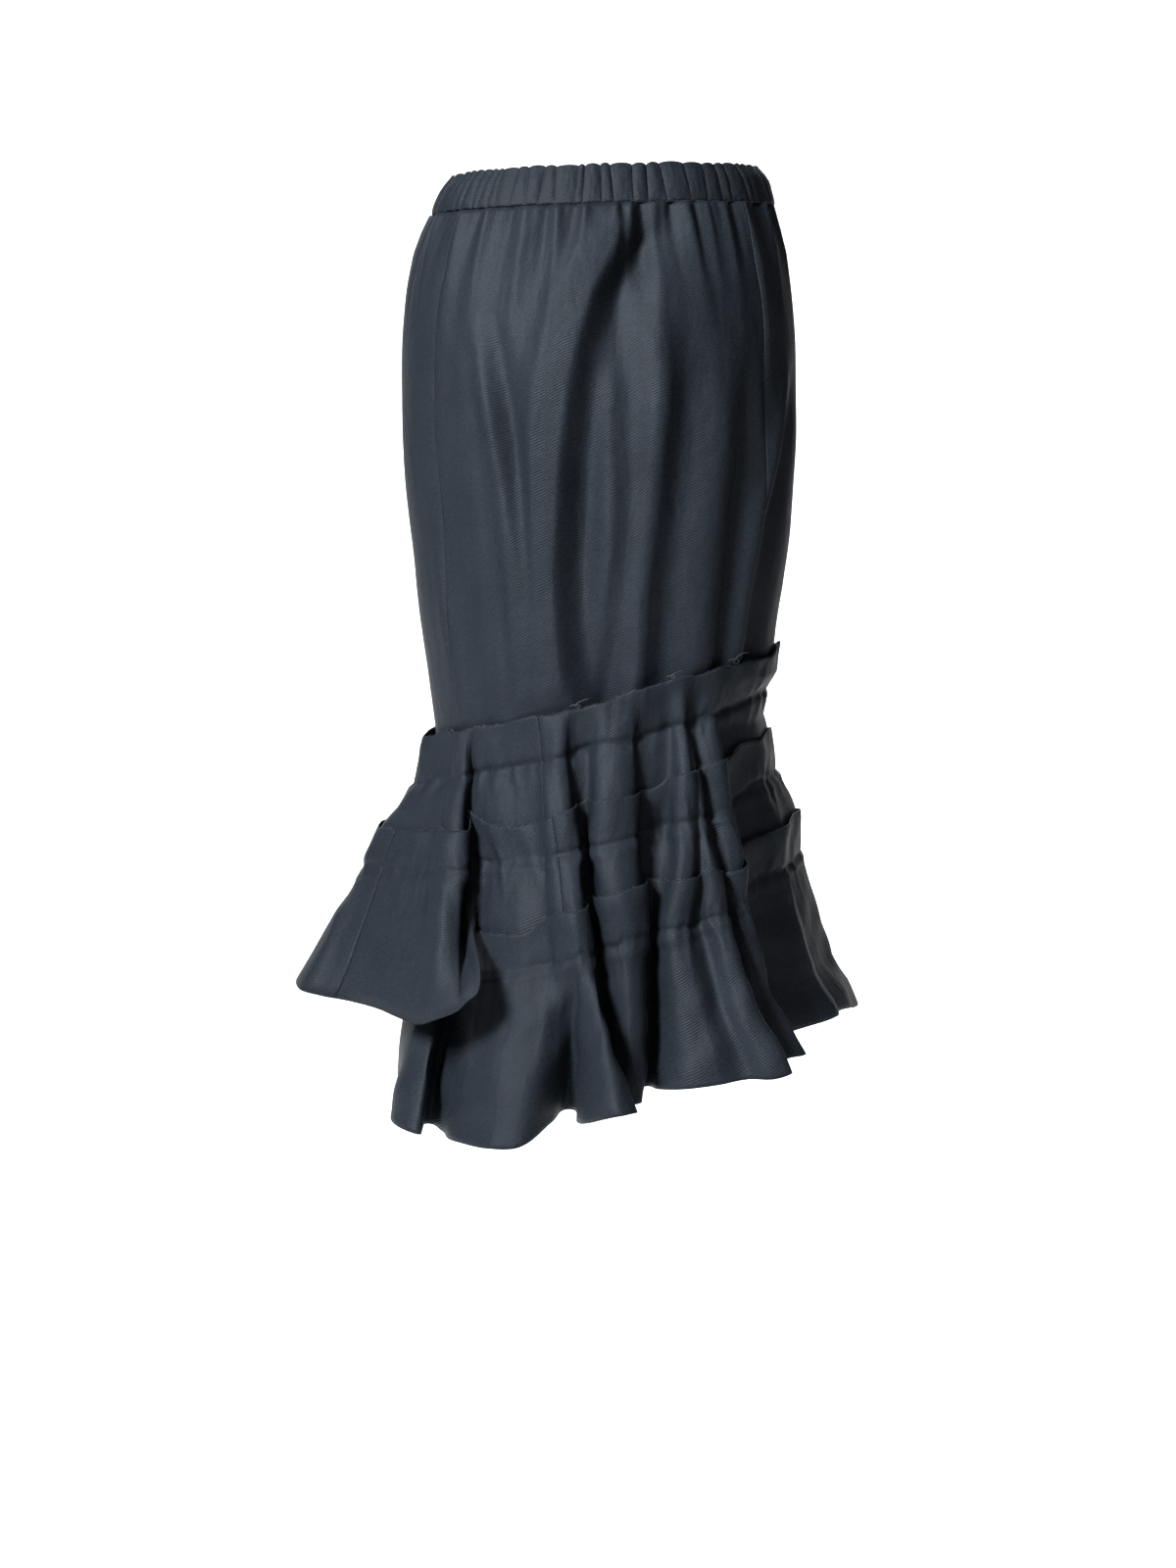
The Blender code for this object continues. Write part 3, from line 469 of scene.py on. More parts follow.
def body_reach(turn, height):
    """Reach of the body's plain form at a turn and height."""
    turn, height = np.broadcast_arrays(np.atleast_1d(turn), np.atleast_1d(height))
    size = body_size(height.ravel()).reshape(height.shape + (4,))
    side = np.sin(np.radians(turn))
    back = np.cos(np.radians(turn))
    across = np.where(side < 0, size[..., 0], size[..., 1])
    deep = np.where(back > 0, size[..., 2], size[..., 3])
    return 1.0 / np.sqrt((side / across) ** 2 + (back / deep) ** 2)


def level_height(level, across):
    middle, slope = LEVELS[level]
    return middle * MM + slope * across


def spot(turn, reach):
    """Plan position for a turn and a reach."""
    angle = math.radians(turn)
    return np.array([reach * math.sin(angle), -reach * math.cos(angle)])


def point_at(turn, reach, height):
    flat = spot(turn, reach)
    return np.array([flat[0], flat[1], height])


def stitch_spot(level, turn, reach):
    """Point on a stitch line. The uppermost one always clears the body."""
    flat = spot(turn, reach)
    if level == "a":
        least = body_reach(turn, level_height("a", flat[0]))[0] + BODY_CLEAR
        flat = spot(turn, max(reach, least))
    return np.array([flat[0], flat[1], level_height(level, flat[0])])


def front_folds():
    """Four fold lines for each pleat of the front: two on the pleat, two in the valley after it."""
    rows = []
    for number, (turn, half, *heights) in enumerate(FRONT_PLEATS):
        after = FRONT_PLEATS[number + 1][0] if number + 1 < len(FRONT_PLEATS) else FRONT_END
        middle = (turn + half + after) / 2
        lean = FRONT_LEAN * math.sin(number * 2.1)
        stations = (
            ("ridge_a", turn - half, 0.95),
            ("ridge_b", turn + half, 1.0),
            ("valley_a", middle - 2.6 - lean / 2, 0.0),
            ("valley_b", middle + 2.2, 0.0),
        )
        for name, at, share in stations:
            base = body_reach(at, level_height("a", 0.0))[0] / MM
            row = ["front_%d_%s" % (number, name), FRONT_OPEN]
            for tall, (valley, spread) in zip(heights, FRONT_LEVELS):
                row += [at + spread * (lean * share), base + valley + tall * share]
            slope = FRONT_HEM_REACH * math.sin(math.radians(at)) * FRONT_HEM_SLOPE
            rows.append(row + [FRONT_HEM + slope + FRONT_HEM_UNREST * math.sin(at)])
    return rows


def ring_rows():
    """All fold lines with their corner points, from the left side round the back to the front."""
    rows = []
    for number, row in enumerate([*SIDE_FOLDS, *BACK_FOLDS, *front_folds()]):
        name, opening, a_turn, a_reach, b_turn, b_reach, turn, reach, h_turn, h_reach, h_z = row
        entry = {"name": name, "free": number < len(SIDE_FOLDS), "open": opening}
        entry["a"] = stitch_spot("a", a_turn, a_reach * MM)
        entry["b"] = stitch_spot("b", b_turn, b_reach * MM)
        entry["h"] = point_at(h_turn, h_reach * MM, h_z * MM)
        if entry["free"]:
            entry["m"] = point_at(turn, reach * MM, (entry["b"][2] + entry["h"][2]) / 2)
        else:
            entry["c"] = stitch_spot("c", turn, reach * MM)
        rows.append(entry)
    return add_header_tops(rows)


def low_rows(ring):
    """Fold lines of the lowest tier: the hidden left side, then the shared back and front ones."""
    rows = []
    for name, c_turn, c_reach, h_turn, h_reach, h_z in UNDER_FOLDS:
        rows.append({
            "name": name,
            "c": stitch_spot("c", c_turn, c_reach * MM),
            "h": point_at(h_turn, h_reach * MM, h_z * MM),
        })
    return rows + [entry for entry in ring if not entry["free"]]


def puff(start, end, share):
    """Point between two stitch lines, bulging outward half way."""
    flat = start + (end - start) * share
    reach = math.hypot(flat[0], flat[1])
    bulge = (PUFF_LEAST + PUFF_SLOPE * max(reach - PUFF_FROM, 0.0)) * 4 * share * (1 - share)
    return flat + np.array([flat[0], flat[1], 0.0]) / reach * bulge


def through_three(start, half, end, share):
    """Curve from start to end that passes the half-way point."""
    pull = 2 * half - (start + end) / 2
    return start * (1 - share) ** 2 + pull * 2 * share * (1 - share) + end * share ** 2


def lay_on_body(flat, height):
    """Point clear of the body's surface, at a plan position and a height."""
    turn = math.degrees(math.atan2(flat[0], -flat[1]))
    reach = max(math.hypot(flat[0], flat[1]), body_reach(turn, height)[0] + BODY_CLEAR)
    return point_at(turn, reach, height)


def add_header_tops(rows):
    """Raw upper edge of the first tier: the stitched folds, laid flatter and evened out."""
    tops = []
    for entry in rows:
        start = entry["a"]
        turn = math.degrees(math.atan2(start[0], -start[1]))
        proud = math.hypot(start[0], start[1]) - body_reach(turn, start[2])[0] - BODY_CLEAR
        above = body_reach(turn, start[2] + HEADER_TALL)[0] + BODY_CLEAR
        tops.append(spot(turn, above + proud * entry["open"]))
    for entry, top in zip(rows, evened(np.array(tops), TOP_EVENING)):
        entry["top"] = lay_on_body(top, level_height("a", top[0]) + HEADER_TALL)
    return rows


# A tier's points are asked for by lift, the length above (+) or below (-) its stitch line, and by
# share, how far down it goes to the next stitch line or to the hem.

def first_point(entry, lift, share):
    """Point of the first tier's fold line."""
    if lift > 0:
        point = entry["a"] + (entry["top"] - entry["a"]) * lift / HEADER_TALL
        return lay_on_body(point[:2], point[2])
    if share == TAIL:
        return below_second(entry, TAIL_LENGTH)
    return puff(entry["a"], entry["b"], max(-lift / (entry["a"][2] - entry["b"][2]), share))


def below_second(entry, depth, share=0.0):
    """Point below the second stitch line, by depth or by share of the way, whichever is lower."""
    end = "h" if entry["free"] else "c"
    at = max(depth / (entry["b"][2] - entry[end][2]), share)
    if entry["free"]:
        return through_three(entry["b"], entry["m"], entry["h"], at)
    return puff(entry["b"], entry["c"], at)


def second_point(entry, lift, share):
    """Point of the second tier's fold line, before it is laid on the first tier."""
    if lift > 0:
        drop = entry["a"][2] - entry["b"][2]
        return puff(entry["a"], entry["b"], 1 - lift / drop)
    if entry["free"]:
        return below_second(entry, -lift, FREE_HEM_SHARES.get(share, 0.0))
    if share == TAIL:
        return third_point(entry, -TAIL_LENGTH, 0.0)
    return below_second(entry, -lift, share)


def third_point(entry, lift, share):
    """Point of the lowest tier's fold line, before it is laid on the second tier."""
    if lift > 0:
        if "b" in entry:
            drop = entry["b"][2] - entry["c"][2]
            return puff(entry["b"], entry["c"], 1 - lift / drop)
        shrink = 1 - HEADER_SHRINK * lift
        return entry["c"] * (shrink, shrink, 1.0) + np.array([0.0, 0.0, lift])
    at = max(-lift / (entry["c"][2] - entry["h"][2]), share)
    return entry["c"] + (entry["h"] - entry["c"]) * at


def swell(grid, amount):
    """Grid with its points moved away from the axis by an amount."""
    factor = 1 + amount / np.hypot(grid[..., 0], grid[..., 1])
    out = grid.copy()
    out[..., :2] *= factor[..., None]
    return out


def pinch(distance):
    """How far cloth stands out at a distance from the stitches that hold it in."""
    return PINCH_DEPTH * (1 - math.exp(-distance / PINCH_REACH))


def push_off(inner, outer, gap):
    """Moves plan points of an outer ring to at least a gap outside a closed inner ring."""
    way = np.roll(inner, -1, axis=0) - inner
    length = np.maximum(np.sum(way * way, axis=1), 1e-12)
    offset = outer[:, None, :] - inner[None, :, :]
    share = np.clip(np.sum(offset * way[None], axis=2) / length[None], 0.0, 1.0)
    apart = offset - share[..., None] * way[None]
    distance = np.linalg.norm(apart, axis=2)
    nearest = np.argmin(distance, axis=1)
    index = np.arange(len(outer))
    apart = apart[index, nearest]
    distance = distance[index, nearest]
    way = way[nearest]
    normal = unit(np.stack([way[:, 1], -way[:, 0]], axis=1))
    outside = np.sum(apart * normal, axis=1) > 0
    away = np.where(outside[:, None], apart / np.maximum(distance, 1e-9)[:, None], normal)
    short = ~outside | (distance < gap)
    return np.where(short[:, None], outer - apart + away * gap, outer)


def ring_at(columns, level, lift):
    """Plan positions where the columns of a tier pass a height above a stitch line."""
    ring = []
    for column in columns:
        above = column[:, 2] - level_height(level, column[:, 0]) - lift
        ring.append([np.interp(0.0, -above, column[:, axis]) for axis in (0, 1)])
    return np.array(ring)


def smooth_rows(grid, steps):
    """Adds rows between a grid's rows, on a smooth curve down each column."""
    made = []
    for span, parts in enumerate(steps):
        start = grid[:, span]
        end = grid[:, span + 1]
        before = grid[:, span - 1] if span > 0 else 2 * start - end
        after = grid[:, span + 2] if span + 2 < grid.shape[1] else 2 * end - start
        made += [soft_curve(before, start, end, after, part / parts) for part in range(parts)]
    return np.stack(made + [grid[:, -1]], axis=1)


def tier_grid(name, rows, point, shares):
    """A tier's fine grid: columns round the fold lines and rows down the tier."""
    stations = [(length * MM, 0.0) for length in TIER_ROW_LENGTHS]
    stations += [(0.0, share) for share in shares]
    control = np.array([[point(entry, lift, share) for lift, share in stations] for entry in rows])
    grid = fold_curve(control, np.arange(len(rows) * FINE) / FINE)
    for number, (lift, share) in enumerate(stations):
        if share < 1.0:
            grid[:, number] = swell(grid[:, number], pinch(abs(lift) + share * PINCH_SPAN * MM))
    return smooth_rows(grid, TIER_STEPS[name])


def row_lifts(name):
    """Heights of a tier's fine rows above its stitch line, down to the row just under it."""
    lifts = []
    for span, parts in enumerate(TIER_STEPS[name][:3]):
        start = TIER_ROW_LENGTHS[span]
        end = TIER_ROW_LENGTHS[span + 1]
        lifts += [start + (end - start) * part / parts for part in range(parts)]
    return [lift * MM for lift in lifts] + [TIER_ROW_LENGTHS[3] * MM]


def lay_close(grid, inner_columns, level, lifts):
    """Lays the sewn rows of a tier on the tier inside it, down into its folds."""
    for row, lift in enumerate(lifts):
        inner = ring_at(inner_columns, level, lift)
        gap = CLOTH_STEP + HEADER_LIFT * max(lift, 0.0) / HEADER_TALL + CLOSE_PINCH * pinch(abs(lift))
        ring = push_off(inner, grid[:, row, :2], gap)
        for _ in range(CLOSE_ROUNDS):
            ring = push_off(inner, evened(ring, CLOSE_EVENING), gap)
        grid[:, row, :2] = ring
        grid[:, row, 2] = level_height(level, ring[:, 0]) + lift
    return grid


def sewn_tiers():
    """Fold lines and fine surface of each tier. Each tier is laid on the one above it."""
    ring = ring_rows()
    low = low_rows(ring)
    first = tier_grid("flounce_1", ring, first_point, UPPER_ROW_SHARES)
    second = tier_grid("flounce_2", ring, second_point, UPPER_ROW_SHARES)
    second = lay_close(second, first, "b", row_lifts("flounce_2"))
    third = tier_grid("flounce_3", low, third_point, LOWEST_ROW_SHARES)
    alone = swell(third, -LAYER_STEP)[:len(UNDER_FOLDS) * FINE - FINE // 2]
    covered = second[len(SIDE_FOLDS) * FINE - FINE // 2:]
    third = lay_close(third, [*alone, *covered], "c", row_lifts("flounce_3"))
    return {"flounce_1": (ring, first), "flounce_2": (ring, second), "flounce_3": (low, third)}


def surface_normals(grid, closed):
    """Outward unit normals of a grid."""
    if closed:
        across = np.roll(grid, -1, axis=0) - np.roll(grid, 1, axis=0)
    else:
        across = np.gradient(grid, axis=0)
    return unit(np.cross(np.gradient(grid, axis=1), across))


def run_lengths(grid, zero_row):
    """Distance along the cloth across (at one row) and down (signed, up is positive)."""
    down = np.linalg.norm(np.diff(grid, axis=1), axis=2)
    down = np.concatenate([np.zeros((len(grid), 1)), np.cumsum(down, axis=1)], axis=1)
    down = down[:, zero_row:zero_row + 1] - down
    across = np.linalg.norm(np.diff(grid[:, zero_row], axis=0), axis=1)
    return np.concatenate([[0.0], np.cumsum(across)]), down


def ripple(place, seed, length):
    """Smooth uneven wave from -1 to 1 along a length, the same on every run."""
    out = 0.0
    total = 0.0
    for number in range(5):
        size = length * (1.0 + 0.47 * number) * (1 + 0.13 * math.sin(seed * 3.1 + number))
        weight = 1.0 / (1 + 0.6 * number)
        out = out + weight * np.sin(place * 2 * math.pi / size + seed * 1.7 + number * 2.3)
        total += weight
    return out / total * 1.4


def ripple_field(across, down, seed, length):
    """Smooth uneven relief over a surface, from about -1 to 1."""
    out = 0.0
    for number in range(6):
        angle = seed * 0.9 + number * 1.05
        size = length * (0.8 + 0.22 * number)
        way = across * math.cos(angle) + down * math.sin(angle)
        off = across * math.sin(angle) - down * math.cos(angle)
        bend = 0.35 * length * np.sin(off / length * 1.3)
        out = out + np.sin((way + bend) * 2 * math.pi / size + seed + 1.9 * number)
    return out / 3.2


def creases(across, down, total, seed):
    """Short gathers along a stitch line: uneven ridges that die out above and below it."""
    chance = np.random.default_rng(seed)
    out = np.zeros(np.broadcast(across, down).shape)
    place = 0.0
    while place < total:
        tall = CREASE_TALL * chance.uniform(0.35, 1.0) * (1 if chance.random() > 0.35 else -0.8)
        wide = CREASE_WIDE * chance.uniform(0.6, 1.5)
        reach_up = CREASE_UP * chance.uniform(0.4, 1.3)
        reach_low = CREASE_LOW * chance.uniform(0.4, 1.4)
        slant = chance.uniform(-0.35, 0.35)
        offset = (across - place - slant * down + total / 2) % total - total / 2
        fade = np.exp(-(down / np.where(down > 0, reach_up, reach_low)) ** 2)
        out = out + tall * np.exp(-(offset / wide) ** 2) * fade
        place += CREASE_SPACING * chance.uniform(0.5, 1.7)
    return out


def relief(name, across, down, total):
    """Small folds that the cut pieces of the part leave out, as heights off the surface."""
    seed = RELIEF_SEEDS[name]
    above = np.clip(down, 0, None)
    below = np.clip(-down, 0, None)
    soft = SOFT_ABOVE * smooth_step(above, 0.004, 0.03) + SOFT_BELOW * smooth_step(below, 0.006, 0.06)
    out = ripple_field(across, down, seed, SOFT_WAVE) * soft
    fine = ripple_field(across, down * 0.3, seed + 5, FINE_WAVE)
    out = out + fine * FINE_TALL * np.exp(-np.abs(down) / FINE_REACH)
    out = out + creases(across, down, total, seed)
    flutter = np.clip(ripple(across, seed + 9, FLUTTER_WAVE), 0, None)
    out = out + flutter * FLUTTER_TALL * smooth_step(above, 0.022, 0.038)
    return out - STITCH_SUNK * np.exp(-(down / STITCH_WIDE) ** 2)


def rise_at(table, turn, seed):
    """Rise of an edge at turns: the stated ones at the back, an even unrest elsewhere."""
    points = np.array(table, dtype=float)
    stated = np.interp(turn, points[:, 0], points[:, 1])
    other = UNREST_TALL * ripple(turn, seed, UNREST_WAVE)
    share = smooth_step(turn, points[0, 0] - RISE_BLEND, points[0, 0])
    share = share * (1 - smooth_step(turn, points[-1, 0], points[-1, 0] + RISE_BLEND))
    return (stated * share + other * (1 - share)) * MM


def set_edges(name, grid, zero_row):
    """Moves the raw edge and the stitch line of a tier up and down along its own surface."""
    turn = np.degrees(np.arctan2(grid[:, zero_row, 0], -grid[:, zero_row, 1]))
    top = evened(rise_at(EDGE_RISE[name], turn, 2), EDGE_EVENING)
    seam = evened(rise_at(STITCH_RISE[name], turn, 5), EDGE_EVENING)
    _, down = run_lengths(grid, zero_row)
    out = grid.copy()
    for column, place in enumerate(down):
        share = np.clip(place / place[0], 0, None)
        fade = np.exp(-(np.clip(-place, 0, None) / SEAM_RISE_REACH) ** 2)
        above = seam[column] + (HEADER_TALL + top[column] - seam[column]) * share
        target = np.where(place >= 0, above, place + seam[column] * fade)
        for axis in range(3):
            out[column, :, axis] = np.interp(-target, -place, grid[column, :, axis])
    return out


def settle(grid):
    """Draws the sides of the tiers in a little, the same for all layers."""
    out = grid.copy()
    side = grid[..., 0]
    height = grid[..., 2]
    for sign, near, far, table in ((1, *PULL_RIGHT), (-1, *PULL_LEFT)):
        points = np.array(table, dtype=float)
        pull = np.interp(-height, -points[:, 0] * MM, points[:, 1] * MM)
        out[..., 0] -= sign * pull * smooth_step(side * sign, near, far)
    out[..., 2] -= DROP_RIGHT * MM * smooth_step(side, *DROP_SIDE) * smooth_step(-height, *DROP_BELOW)
    return out


# ---- meshes

def add_object(name, data):
    item = bpy.data.objects.new(name, data)
    bpy.context.scene.collection.objects.link(item)
    return item


def add_mesh(name, points, faces, materials, uv=None):
    mesh = bpy.data.meshes.new(name)
    mesh.from_pydata([tuple(point) for point in points], [], faces)
    if uv is not None:
        layer = mesh.uv_layers.new(name="cloth")
        index = np.empty(len(mesh.loops), dtype=np.int64)
        mesh.loops.foreach_get("vertex_index", index)
        layer.data.foreach_set("uv", np.asarray(uv, dtype=np.float32)[index].ravel())
    mesh.polygons.foreach_set("use_smooth", [True] * len(mesh.polygons))
    mesh.update()
    for material in materials:
        mesh.materials.append(material)
    return add_object(name, mesh)


def cloth_sheet(node_name, grid, run, drop, materials):
    """Thin shell from a grid, in place of a node, with the cloth's own lengths as coordinates."""
    columns, rows = grid.shape[:2]
    number = np.arange(columns * rows).reshape(columns, rows)
    corners = np.stack([number[:-1, :-1], number[:-1, 1:], number[1:, 1:], number[1:, :-1]], axis=-1)
    uv = np.stack([np.broadcast_to(run[:, None], (columns, rows)), drop], axis=-1)
    piece = add_mesh("cloth_" + node_name, grid.reshape(-1, 3), corners.reshape(-1, 4).tolist(),
                     materials, uv.reshape(-1, 2))
    solid = piece.modifiers.new("cloth", "SOLIDIFY")
    solid.thickness = CLOTH
    solid.offset = 0.0
    solid.material_offset_rim = 1
    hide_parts(node_name)
    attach(piece, "root")
    return Sheet(piece, grid, run, drop)


def trim_ends(grid):
    """Strip with both ends drawn in by half the trim."""
    grid = grid.copy()
    for end, inner in ((0, 1), (-1, -2)):
        way = grid[inner] - grid[end]
        grid[end] += unit(way) * TRIM / 2
    return grid


def seam_row(name):
    """Row of a tier's fine grid that lies on its stitch line."""
    return TIER_STEPS[name][0] + TIER_STEPS[name][1]


def cut_column(rows, name):
    """Column of a tier's fine grid half a fold after a named fold line."""
    index = [entry["name"] for entry in rows].index(name)
    return int(round((index + 0.5) * FINE))


def dress_tiers(materials):
    made = {}
    for name, (rows, fine) in sewn_tiers().items():
        zero_row = seam_row(name)
        fine = set_edges(name, fine, zero_row)
        across, down = run_lengths(fine, zero_row)
        normals = surface_normals(fine, True)
        lift = relief(name, across[:, None], down, across[-1])
        if name in NEXT_LEVEL:
            over = fine[..., 2] - level_height(NEXT_LEVEL[name], fine[..., 0])
            lift = lift * smooth_step(over, HEADER_TALL, HEADER_TALL + UNDER_FADE)
        fine = settle(fine + normals * np.maximum(lift, RELIEF_FLOOR)[..., None])
        for label, start, end in CUTS[name]:
            first = cut_column(rows, start)
            final = cut_column(rows, end)
            if final <= first:
                final += len(fine)
            picked = [index % len(fine) for index in range(first, final + 1)]
            strip = trim_ends(fine[picked])
            run, drop = run_lengths(strip, zero_row)
            sunk = np.exp(-run / SEAM_WIDE) + np.exp(-(run[-1] - run) / SEAM_WIDE)
            strip = strip - normals[picked] * (SEAM_SUNK * sunk)[:, None, None]
            node_name = "%s_%s" % (name, label)
            made[node_name] = cloth_sheet(node_name, strip, run, drop, materials)
    return made


# ---- body and band

def off_line(line, turn, height, reach):
    """Distance to the wearer's right of a line down the panels, and how much of the line is there."""
    points = np.array(line, dtype=float)
    at = np.interp(-height, -points[:, 1] * MM, points[:, 0])
    top = points[0, 1] * MM
    low = points[-1, 1] * MM
    fade = smooth_step(top + LINE_OVER - height, 0.0, 0.05 if top > -0.05 else 0.1)
    if low > LINE_ENDS:
        fade = fade * smooth_step(height - low + LINE_OVER, 0.0, 0.04)
    return np.radians(wrapped(turn - at)) * reach, fade


def body_folds(turn, height, reach):
    """Relief of the panels' soft folds at turns and heights."""
    out = np.zeros(np.broadcast(turn, height).shape)
    for fall, ridge, hollow, line in BODY_FOLDS:
        apart, fade = off_line(line, turn, height, reach)
        half = np.where(apart < 0, ridge, hollow) * MM
        share = apart / half
        out = out - fall * MM * fade * share * np.exp(0.5 - share * share / 2)
    for tall, half, line in BODY_RIDGES:
        apart, fade = off_line(line, turn, height, reach)
        out = out + tall * MM * fade * np.exp(-(apart / (half * MM)) ** 2)
    return out


def gather_wave(turn, depth, reach):
    """Gathers that hang from the band's seam and die out below it."""
    out = 0.0
    chance = np.random.default_rng(5)
    gathers = list(BAND_GATHERS)
    at, end = FRONT_GATHERS
    sign = 1
    while at < end:
        gathers.append((at, sign * chance.uniform(1.2, 2.6), chance.uniform(3.5, 6.0),
                        chance.uniform(30, 85)))
        at += chance.uniform(5.0, 9.0)
        sign = -sign
    for at, tall, wide, low in gathers:
        drift = chance.uniform(-30, 30)
        apart = np.radians(wrapped(turn - at - drift * depth)) * reach
        widen = (wide + GATHER_WIDENS * depth) * MM
        fade = np.exp(-(depth / (low * MM)) ** 1.6)
        out = out + GATHER_TALL * tall * MM * np.exp(-(apart / (GATHER_WIDE * widen)) ** 2) * fade
    fine = np.cos(np.radians(turn * FINE_GATHERS + 40 * np.sin(np.radians(turn * 7))))
    return out + FINE_GATHER_TALL * fine * np.exp(-depth / FINE_GATHER_REACH)


def dress_body(materials):
    """Both panels, cut from one ring of cloth that hangs from the band."""
    top = -BAND_HEIGHT - SEAM_GAP
    turns = -PANEL_SEAM_TURN + 360.0 * np.arange(BODY_COLUMNS + 1) / BODY_COLUMNS
    across = np.sin(np.radians(turns))
    guess = body_reach(turns, np.full(turns.shape, -0.44)) * across
    low = level_height("a", guess) - TAIL_LENGTH
    start = top + BAND_TILT * body_reach(turns, np.full(turns.shape, top)) * across
    height = start[:, None] + (low - start)[:, None] * BODY_ROW_SHARES[None, :]
    turn = np.broadcast_to(turns[:, None], height.shape)
    reach = body_reach(turn, height)
    depth = start[:, None] - height
    side = np.sin(np.radians(turn))
    back = np.cos(np.radians(turn))
    # The front's folds are the back's, mirrored, weaker and a little further down.
    mirrored = body_folds(180 - turn, height + FRONT_LOWER, reach) * FRONT_SHARE
    share = smooth_step(back, -0.35, 0.25)
    out = body_folds(turn, height, reach) * share + mirrored * (1 - share)
    out = out + gather_wave(turn, depth, reach)
    apart = np.minimum(np.abs(wrapped(turn - PANEL_SEAM_TURN)), np.abs(wrapped(turn + PANEL_SEAM_TURN)))
    pinched = np.exp(-np.radians(apart) * reach / PANEL_SEAM_WIDE)
    out = out - PANEL_SEAM_SUNK * pinched * smooth_step(depth, 0.01, 0.05)
    out = out + ripple_field(turn / 57.3 * 0.15, height, 2, 0.12) * BODY_UNREST
    over = height - level_height("a", reach * side)
    free = smooth_step(over, HEADER_TALL - 0.004, HEADER_TALL + 0.02)
    ceiling = UNDER_HEADER + OVER_HEADER * free
    out = (out + ceiling - np.sqrt((out - ceiling) ** 2 + CEILING_SOFT ** 2)) / 2
    flat = (reach + out)[..., None] * np.stack([side, -back], axis=-1)
    grid = settle(np.concatenate([flat, height[..., None]], axis=2))
    middle = int(round(2 * PANEL_SEAM_TURN * (BODY_COLUMNS / 360.0)))
    made = {}
    for node_name, first, final in (("back_panel", 0, middle), ("front_panel", middle, BODY_COLUMNS)):
        strip = trim_ends(grid[first:final + 1])
        run, drop = run_lengths(strip, 0)
        made[node_name] = cloth_sheet(node_name, strip, run, drop, materials)
    return made


def band_puffs(turns, down):
    """How full the casing's puffs are at turns and shares of its height, about 0 in a crease."""
    chance = np.random.default_rng(9)
    valleys = [0.0]
    while valleys[-1] < CREASE_STOP:
        valleys.append(valleys[-1] + chance.choice(PUFF_TURNS) * chance.uniform(0.85, 1.15))
    valleys = np.array(valleys) * 360.0 / valleys[-1]
    count = len(valleys) - 1
    drift = chance.uniform(-1.7, 1.7, count)
    tall = np.clip(0.75 + 0.35 * ripple((valleys[:-1] + valleys[1:]) / 2, 8, 31.0), 0.3, 1.0)
    depths = chance.uniform(0.45, 1.0, count)
    full = np.zeros((len(turns), len(down)))
    for corner, low in enumerate(down):
        moved = valleys[:-1] + drift * (low - 0.5) * 1.3
        ring = np.concatenate([moved, [moved[0] + 360.0]])
        spin = (turns - ring[0]) % 360.0 + ring[0]
        which = np.clip(np.searchsorted(ring, spin, side="right") - 1, 0, count - 1)
        share = (spin - ring[which]) / (ring[which + 1] - ring[which])
        arch = np.sin(math.pi * np.clip(share, 0, 1)) ** 0.5
        full[:, corner] = (arch - 1) * depths[which] + 0.4 + 0.6 * tall[which]
    return full


def dress_band(materials):
    """Gathered casing: round puffs with narrow creases between them and a scalloped top edge."""
    angles = 2 * math.pi * np.arange(BAND_CORNERS) / BAND_CORNERS
    out = np.sign(np.cos(angles)) * np.abs(np.cos(angles)) ** FACE_POWER * 0.5
    down = 0.5 - np.sign(np.sin(angles)) * np.abs(np.sin(angles)) ** RIM_POWER * 0.5
    turns = 360.0 * np.arange(BAND_COLUMNS) / BAND_COLUMNS
    turn = np.broadcast_to(turns[:, None], (BAND_COLUMNS, BAND_CORNERS))
    full = band_puffs(turns, down)
    height = -BAND_HEIGHT * np.broadcast_to(down[None, :], turn.shape)
    outer = np.clip(out + 0.5, 0, None)[None, :]
    middle = np.sin(math.pi * np.clip(down, 0.02, 1.0) ** 0.8)[None, :]
    reach = body_reach(turn, height) + BAND_THICK * out[None, :]
    reach = reach + (full * PUFF_OUT - PUFF_IN) * MM * outer * (0.35 + 0.65 * middle)
    reach = reach + BAND_UNREST * ripple_field(turn / 57.3 * 0.12, height, 31, 0.007) * outer
    rise = (full - TOP_LEVEL) * TOP_RISE * MM * (1 - down[None, :])
    rise = rise + (full - LOW_LEVEL) * LOW_RISE * MM * down[None, :]
    across = np.sin(np.radians(turn))
    points = np.stack([reach * across, -reach * np.cos(np.radians(turn)),
                       height + rise + BAND_TILT * reach * across], axis=-1)
    uv = np.stack([np.radians(turn) * 0.12, height], axis=-1)
    number = np.arange(BAND_COLUMNS * BAND_CORNERS).reshape(BAND_COLUMNS, BAND_CORNERS)
    ahead = np.roll(number, -1, axis=0)
    corners = np.stack([number, ahead, np.roll(ahead, -1, axis=1), np.roll(number, -1, axis=1)], axis=-1)
    piece = add_mesh("cloth_waistband", points.reshape(-1, 3), corners.reshape(-1, 4).tolist(),
                     materials, uv.reshape(-1, 2))
    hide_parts("waistband")
    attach(piece, "root")
    return piece


# ---- materials

def put(tree, item, **values):
    """Sets a node's values. A value that is another node's output is linked."""
    for key, value in values.items():
        name = key.replace("_", " ")
        if name not in item.inputs:
            setattr(item, key, value)
        elif isinstance(value, bpy.types.NodeSocket):
            tree.links.new(value, item.inputs[name])
        else:
            item.inputs[name].default_value = value
    return item


def node(tree, kind, **values):
    return put(tree, tree.nodes.new("ShaderNode" + kind), **values)


